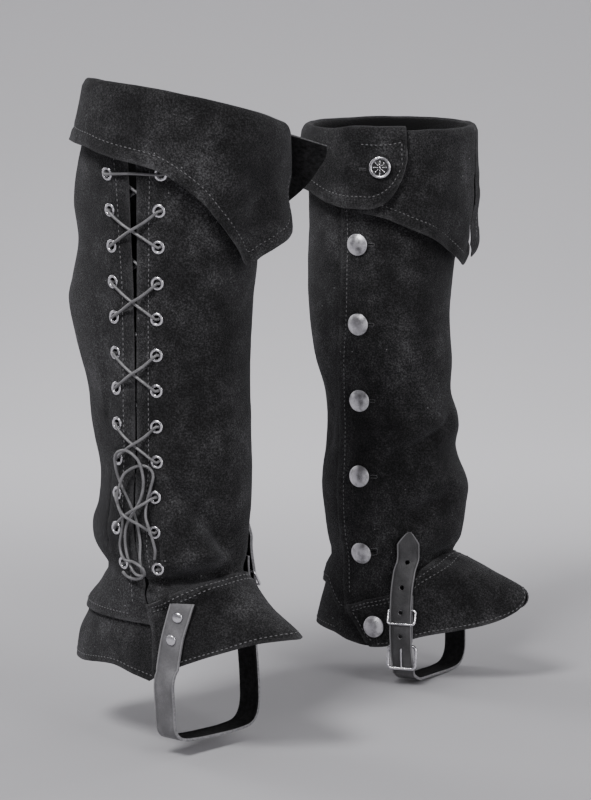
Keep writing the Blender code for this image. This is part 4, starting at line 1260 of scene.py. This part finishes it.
def make_buckle(spat):
    tall = BUCKLE_SIZE[1]
    wide = BUCKLE_SIZE[0] - BUCKLE_WIRE
    low, high = BUCKLE_OUT
    frame_points = []
    for x, z in smooth_corners(wide, tall, BUCKLE_ROUND):
        frame_points.append(buckle_point(spat, x, z, low + (high - low) * (z / tall + 0.5)))
    wire_piece(spat, "buckle_frame", frame_points, BUCKLE_WIRE, True)
    prong = [Vector(buckle_point(spat, 0, up, out)) for up, out in PRONG_ROUTE]
    wire_piece(spat, "prong", smooth_path(prong, 12), PRONG_RADIUS, False)
    loop = []
    for x, z in smooth_corners(*KEEPER_SIZE, KEEPER_ROUND):
        share = z / KEEPER_SIZE[1] + 0.5
        out = KEEPER_OUT[0] + (KEEPER_OUT[1] - KEEPER_OUT[0]) * share
        loop.append(buckle_point(spat, x, KEEPER_UP + z, out))
    wire_piece(spat, "keeper", loop, KEEPER_WIRE, True)


def smooth_corners(wide, tall, corner):
    """A rectangle with rounded corners, as (along, up) pairs."""
    loop = []
    for way_x, way_z, start in ((1, 1, 0), (-1, 1, 90), (-1, -1, 180), (1, -1, 270)):
        for step in range(7):
            angle = math.radians(start + step * 15)
            x = way_x * (wide / 2 - corner) + corner * math.cos(angle)
            loop.append((x, way_z * (tall / 2 - corner) + corner * math.sin(angle)))
    return loop


def spin_round(bm, geometry, sides):
    """Turns a profile once round the upright axis."""
    ends = {"cent": (0, 0, 0), "axis": (0, 0, 1), "angle": math.tau}
    bmesh.ops.spin(bm, geom=geometry, steps=sides, use_merge=True, **ends)
    bmesh.ops.remove_doubles(bm, verts=bm.verts, dist=1e-6)
    bmesh.ops.recalc_face_normals(bm, faces=bm.faces)


def turned(profile, sides, closed=False):
    """A turned piece: profile is (radius, distance along the axis)."""
    bm = bmesh.new()
    verts = [bm.verts.new((radius * MM, 0, up * MM)) for radius, up in profile]
    edges = [bm.edges.new(pair) for pair in zip(verts, verts[1:])]
    if closed:
        edges.append(bm.edges.new((verts[-1], verts[0])))
    spin_round(bm, verts + edges, sides)
    return bm


def put(spat, bm, middle, axis, start=0):
    """Moves the turned piece whose corners begin at start to its place, its axis along this way."""
    turn = spat.direction(axis).to_track_quat("Z", "Y").to_matrix().to_4x4()
    place = Matrix.Translation(spat.to_world(middle)) @ turn
    bm.verts.ensure_lookup_table()
    bmesh.ops.transform(bm, matrix=place, verts=bm.verts[start:])


def turned_piece(spat, node, profile, middle, axis, made, sides=32):
    bm = turned(profile, sides)
    put(spat, bm, middle, axis)
    piece = as_piece(f"{spat.name}_{node}_metal", bm, made)
    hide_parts(f"{spat.name}_{node}")


def tab_seat(spat):
    """Where the ring button sits on the tab, and the way out of the tab there."""
    angle = RING_ANGLE - 360
    edge_drop, _ = cuff_edge(spat, "long_cuff", angle)
    start_up = CUFF_TURN[-1][1]
    row = 4 + (RING_DROP + start_up) / (edge_drop + start_up)
    middle = long_place(spat, angle, row)
    across = long_place(spat, angle + 4, row) - long_place(spat, angle - 4, row)
    up = long_place(spat, angle, row - 0.08) - long_place(spat, angle, row + 0.08)
    normal = across.cross(up).normalized()
    return middle + normal * (WALL / 2 + 0.5), normal


def make_ring_button(spat):
    """A rolled ring round a dark disc, painted as the dark suede and shade seen through its openwork, with
    a small plain rosette of rays and beads on it.
    """
    middle, normal = tab_seat(spat)
    turned_piece(spat, "ring_button", RING_SECTION, middle, normal, FINISH["bright"], 40)
    # A dark disc painted as the dark suede and shade in the openwork's hollows.
    ground = turned(((0, 1.5), (7.4, 1.5), (7.4, 1.9), (0, 2.1)), 32)
    put(spat, ground, middle, normal)
    ground_piece = as_piece(f"{spat.name}_ring_button_ground", ground, FINISH["openwork_shade"])
    bm = bmesh.new()
    for k in range(8):
        turn = Matrix.Rotation(k * math.tau / 8, 4, "Z")
        for radius, size in ((2.6, 0.62), (5.9, 0.85)):
            spot = turn @ Matrix.Translation((radius * MM, 0, 2.3 * MM))
            bmesh.ops.create_uvsphere(bm, u_segments=10, v_segments=6, radius=size * MM, matrix=spot)
        size = Matrix.Diagonal((1.7 * MM, 0.36 * MM, 0.4 * MM, 1.0))
        spot = turn @ Matrix.Translation((4.3 * MM, 0, 2.2 * MM))
        bmesh.ops.create_uvsphere(bm, u_segments=8, v_segments=6, radius=1.0, matrix=spot @ size)
    spot = Matrix.Translation((0, 0, 2.2 * MM))
    bmesh.ops.create_uvsphere(bm, u_segments=12, v_segments=8, radius=1.3 * MM, matrix=spot)
    put(spat, bm, middle, normal)
    rosette = as_piece(f"{spat.name}_ring_button_rosette", bm, FINISH["bright"])


def make_buttons(spat):
    seat = WALL / 2 + 0.4
    for i, row in enumerate(BUTTON_ROWS):
        height = shaft_height(spat, BUTTON_ANGLE, row)
        foot = hide_point(spat, BUTTON_ANGLE, height, seat)
        axis = wall_normal(spat, BUTTON_ANGLE, height)
        turned_piece(spat, f"button_{i + 1}", BUTTON_SECTION, foot, axis, FINISH["button"])
    angle, height = vamp_place(spat, VAMP_BUTTON, VAMP_BUTTON_ROW)
    foot = hide_point(spat, angle, height, seat - VAMP_OUT)
    taller = tuple((radius, up + VAMP_OUT * 2 if up > 1 else up) for radius, up in BUTTON_SECTION)
    turned_piece(spat, "button_6", taller, foot, wall_normal(spat, angle, height), FINISH["button"])
    make_ring_button(spat)
    for i, up in enumerate(RIVET_HEIGHTS):
        forward, out = between([(row[1], row[0], row[2]) for row in STRAP_INNER], up)
        angle = side_angle(spat, -1, forward + spat.inner_lean, spat.seam + up)
        middle = side_point(spat, -1, forward + spat.inner_lean, spat.seam + up, out)[0]
        normal = wall_normal(spat, angle, spat.seam + up)
        middle = middle + normal * (STRAP_THICK / 2 + 0.35)
        turned_piece(spat, f"rivet_{i + 1}", RIVET_SECTION, middle, normal, FINISH["bright"], 24)


def make_eyelets(spat):
    """Two rows of rolled rings that the lace goes through."""
    for side, name in ((0, "back"), (1, "front")):
        pattern = bpy.data.meshes.new("eyelet")
        bm = turned(EYELET_SECTION, 20, closed=True)
        bm.to_mesh(pattern)
        bm.free()
        bm = bmesh.new()
        for row in range(EYELET_ROWS):
            angle = panel_angle(EYELET_ANGLES[side], row)
            height = shaft_height(spat, angle, row)
            start = len(bm.verts)
            bm.from_mesh(pattern)
            middle = hide_point(spat, angle, height, front_out(angle))
            put(spat, bm, middle, wall_normal(spat, angle, height), start)
        piece = as_piece(f"{spat.name}_{name}_eyelets", bm, FINISH["bright"])


# ---- lace ----


def make_lace(spat):
    """One lace: a bar in the top row, crossing in front and behind by turns down to the last row."""
    strands = []
    for start in (0, 1):
        strand = []
        for row in range(EYELET_ROWS):
            side = (start + row) % 2
            inward = row % 2 == 0
            ends = (LACE_OUT, LACE_IN) if inward else (LACE_IN, LACE_OUT)
            strand += [thread(spat, side, row, out) for out in ends]
            if row == EYELET_ROWS - 1:
                break
            height = shaft_height(spat, SLIT_ANGLE, row + 0.5)
            if row % 2 == 0:
                strand.append(lacing_place(spat, 0, height, LACE_IN - start * LACE_CROSS))
            elif row == BOW_ROW:
                lift = BOW_LIFT + start * LACE_CROSS
                way = 1 if side == 0 else -1
                for share in (-0.55, 0, 0.55):
                    level = shaft_height(spat, SLIT_ANGLE, row + 0.5 + share / 2)
                    out = lift if share == 0 else BOW_LIFT * 0.75
                    strand.append(lacing_place(spat, share * way * EYELET_REACH, level, out))
            else:
                way = 1 if side == 0 else -1
                for share, slack in LACE_SLACK:
                    level = shaft_height(spat, SLIT_ANGLE, row + 0.5 + share / 2) - slack
                    out = LACE_OUT + 0.9 + ((1 - start) * LACE_CROSS if share == 0 else 0.2)
                    strand.append(lacing_place(spat, share * way * EYELET_REACH, level, out))
        strands.append(strand)
    bar = lacing_place(spat, 0, spat.first_eyelet + 1, LACE_OUT + 0.4)
    path = smooth_path(strands[0][::-1] + [bar] + strands[1], LACE_POINTS)
    lay_cord(spat, "lace", path)
    knot = spat.first_eyelet - spat.eyelet_step * (EYELET_ROWS - 1)
    route = []
    for along, up, out in BOW_ROUTE:
        rise = ease(10, 70, up)
        route.append(lacing_place(spat, along + BOW_SHIFT * rise, knot + up + BOW_RAISE * rise, out))
    lay_cord(spat, "bow", smooth_path(route, BOW_POINTS))


def lay_cord(spat, node, path):
    piece = wire(spat, f"{spat.name}_{node}_cord", path, LACE_RADIUS, False, FINISH["lace"])
    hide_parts(f"{spat.name}_{node}")
    tuple(spat.to_world(path[0]))


# ---- studio ----


def make_studio():
    """A pale floor that rises all round in one soft curve, and large soft lights."""
    bm = bmesh.new()
    profile = [(0, 0), (FLOOR_RADIUS, 0)]
    for step in range(1, 25):
        turn = math.radians(step * 3.75)
        out = FLOOR_RADIUS + math.sin(turn) * FLOOR_BEND
        profile.append((out, FLOOR_BEND - math.cos(turn) * FLOOR_BEND))
    profile.append((FLOOR_RADIUS + FLOOR_BEND, BACKDROP_TOP))
    verts = [bm.verts.new((radius, 0, FLOOR_HEIGHT + up)) for radius, up in profile]
    edges = [bm.edges.new(pair) for pair in zip(verts, verts[1:])]
    spin_round(bm, verts + edges, 96)
    bmesh.ops.reverse_faces(bm, faces=bm.faces)
    mesh = bpy.data.meshes.new("floor")
    bm.to_mesh(mesh)
    bm.free()
    mesh.shade_smooth()
    mesh.materials.append(floor_finish())
    floor = bpy.data.objects.new("floor", mesh)
    bpy.context.scene.collection.objects.link(floor)
    for name, place, aim, size, power in LIGHTS:
        light = bpy.data.lights.new(name, "AREA")
        light.shape = "RECTANGLE"
        light.size, light.size_y = size
        light.energy = power
        lamp = bpy.data.objects.new(name, light)
        lamp.location = place
        way = Vector(aim) - Vector(place)
        lamp.rotation_euler = way.to_track_quat("-Z", "Y").to_euler()
        bpy.context.scene.collection.objects.link(lamp)
    world = bpy.data.worlds.new("studio")
    world.use_nodes = True
    world.node_tree.nodes["Background"].inputs["Color"].default_value = (1, 1, 1, 1)
    world.node_tree.nodes["Background"].inputs["Strength"].default_value = WORLD_STRENGTH
    bpy.context.scene.world = world


make_camera()
FINISH = {
    "suede": suede_finish(),
    "strap": strap_finish(),
    "bright": metal_finish("bright_silver", 0.85, 0.26, 0.2),
    "button": metal_finish("matte_silver", 0.78, 0.42, 0.5),
    "lace": lace_finish(),
}
for key, name, scale, stops, relief, detail, rough, sockets in PLAIN_FINISHES:
    FINISH[key] = plain_finish(name, scale, stops, relief, detail, rough, **sockets)
spats = (left_spat(), right_spat())
for spat in spats:
    make_lace(spat)
for spat in spats:
    make_shaft(spat)
    make_foot(spat)
    make_cuffs(spat)
    sew_shaft(spat)
    sew_foot(spat)
    sew_cuffs(spat)
    make_straps(spat)
    make_buckle(spat)
    make_buttons(spat)
    make_eyelets(spat)
make_studio()
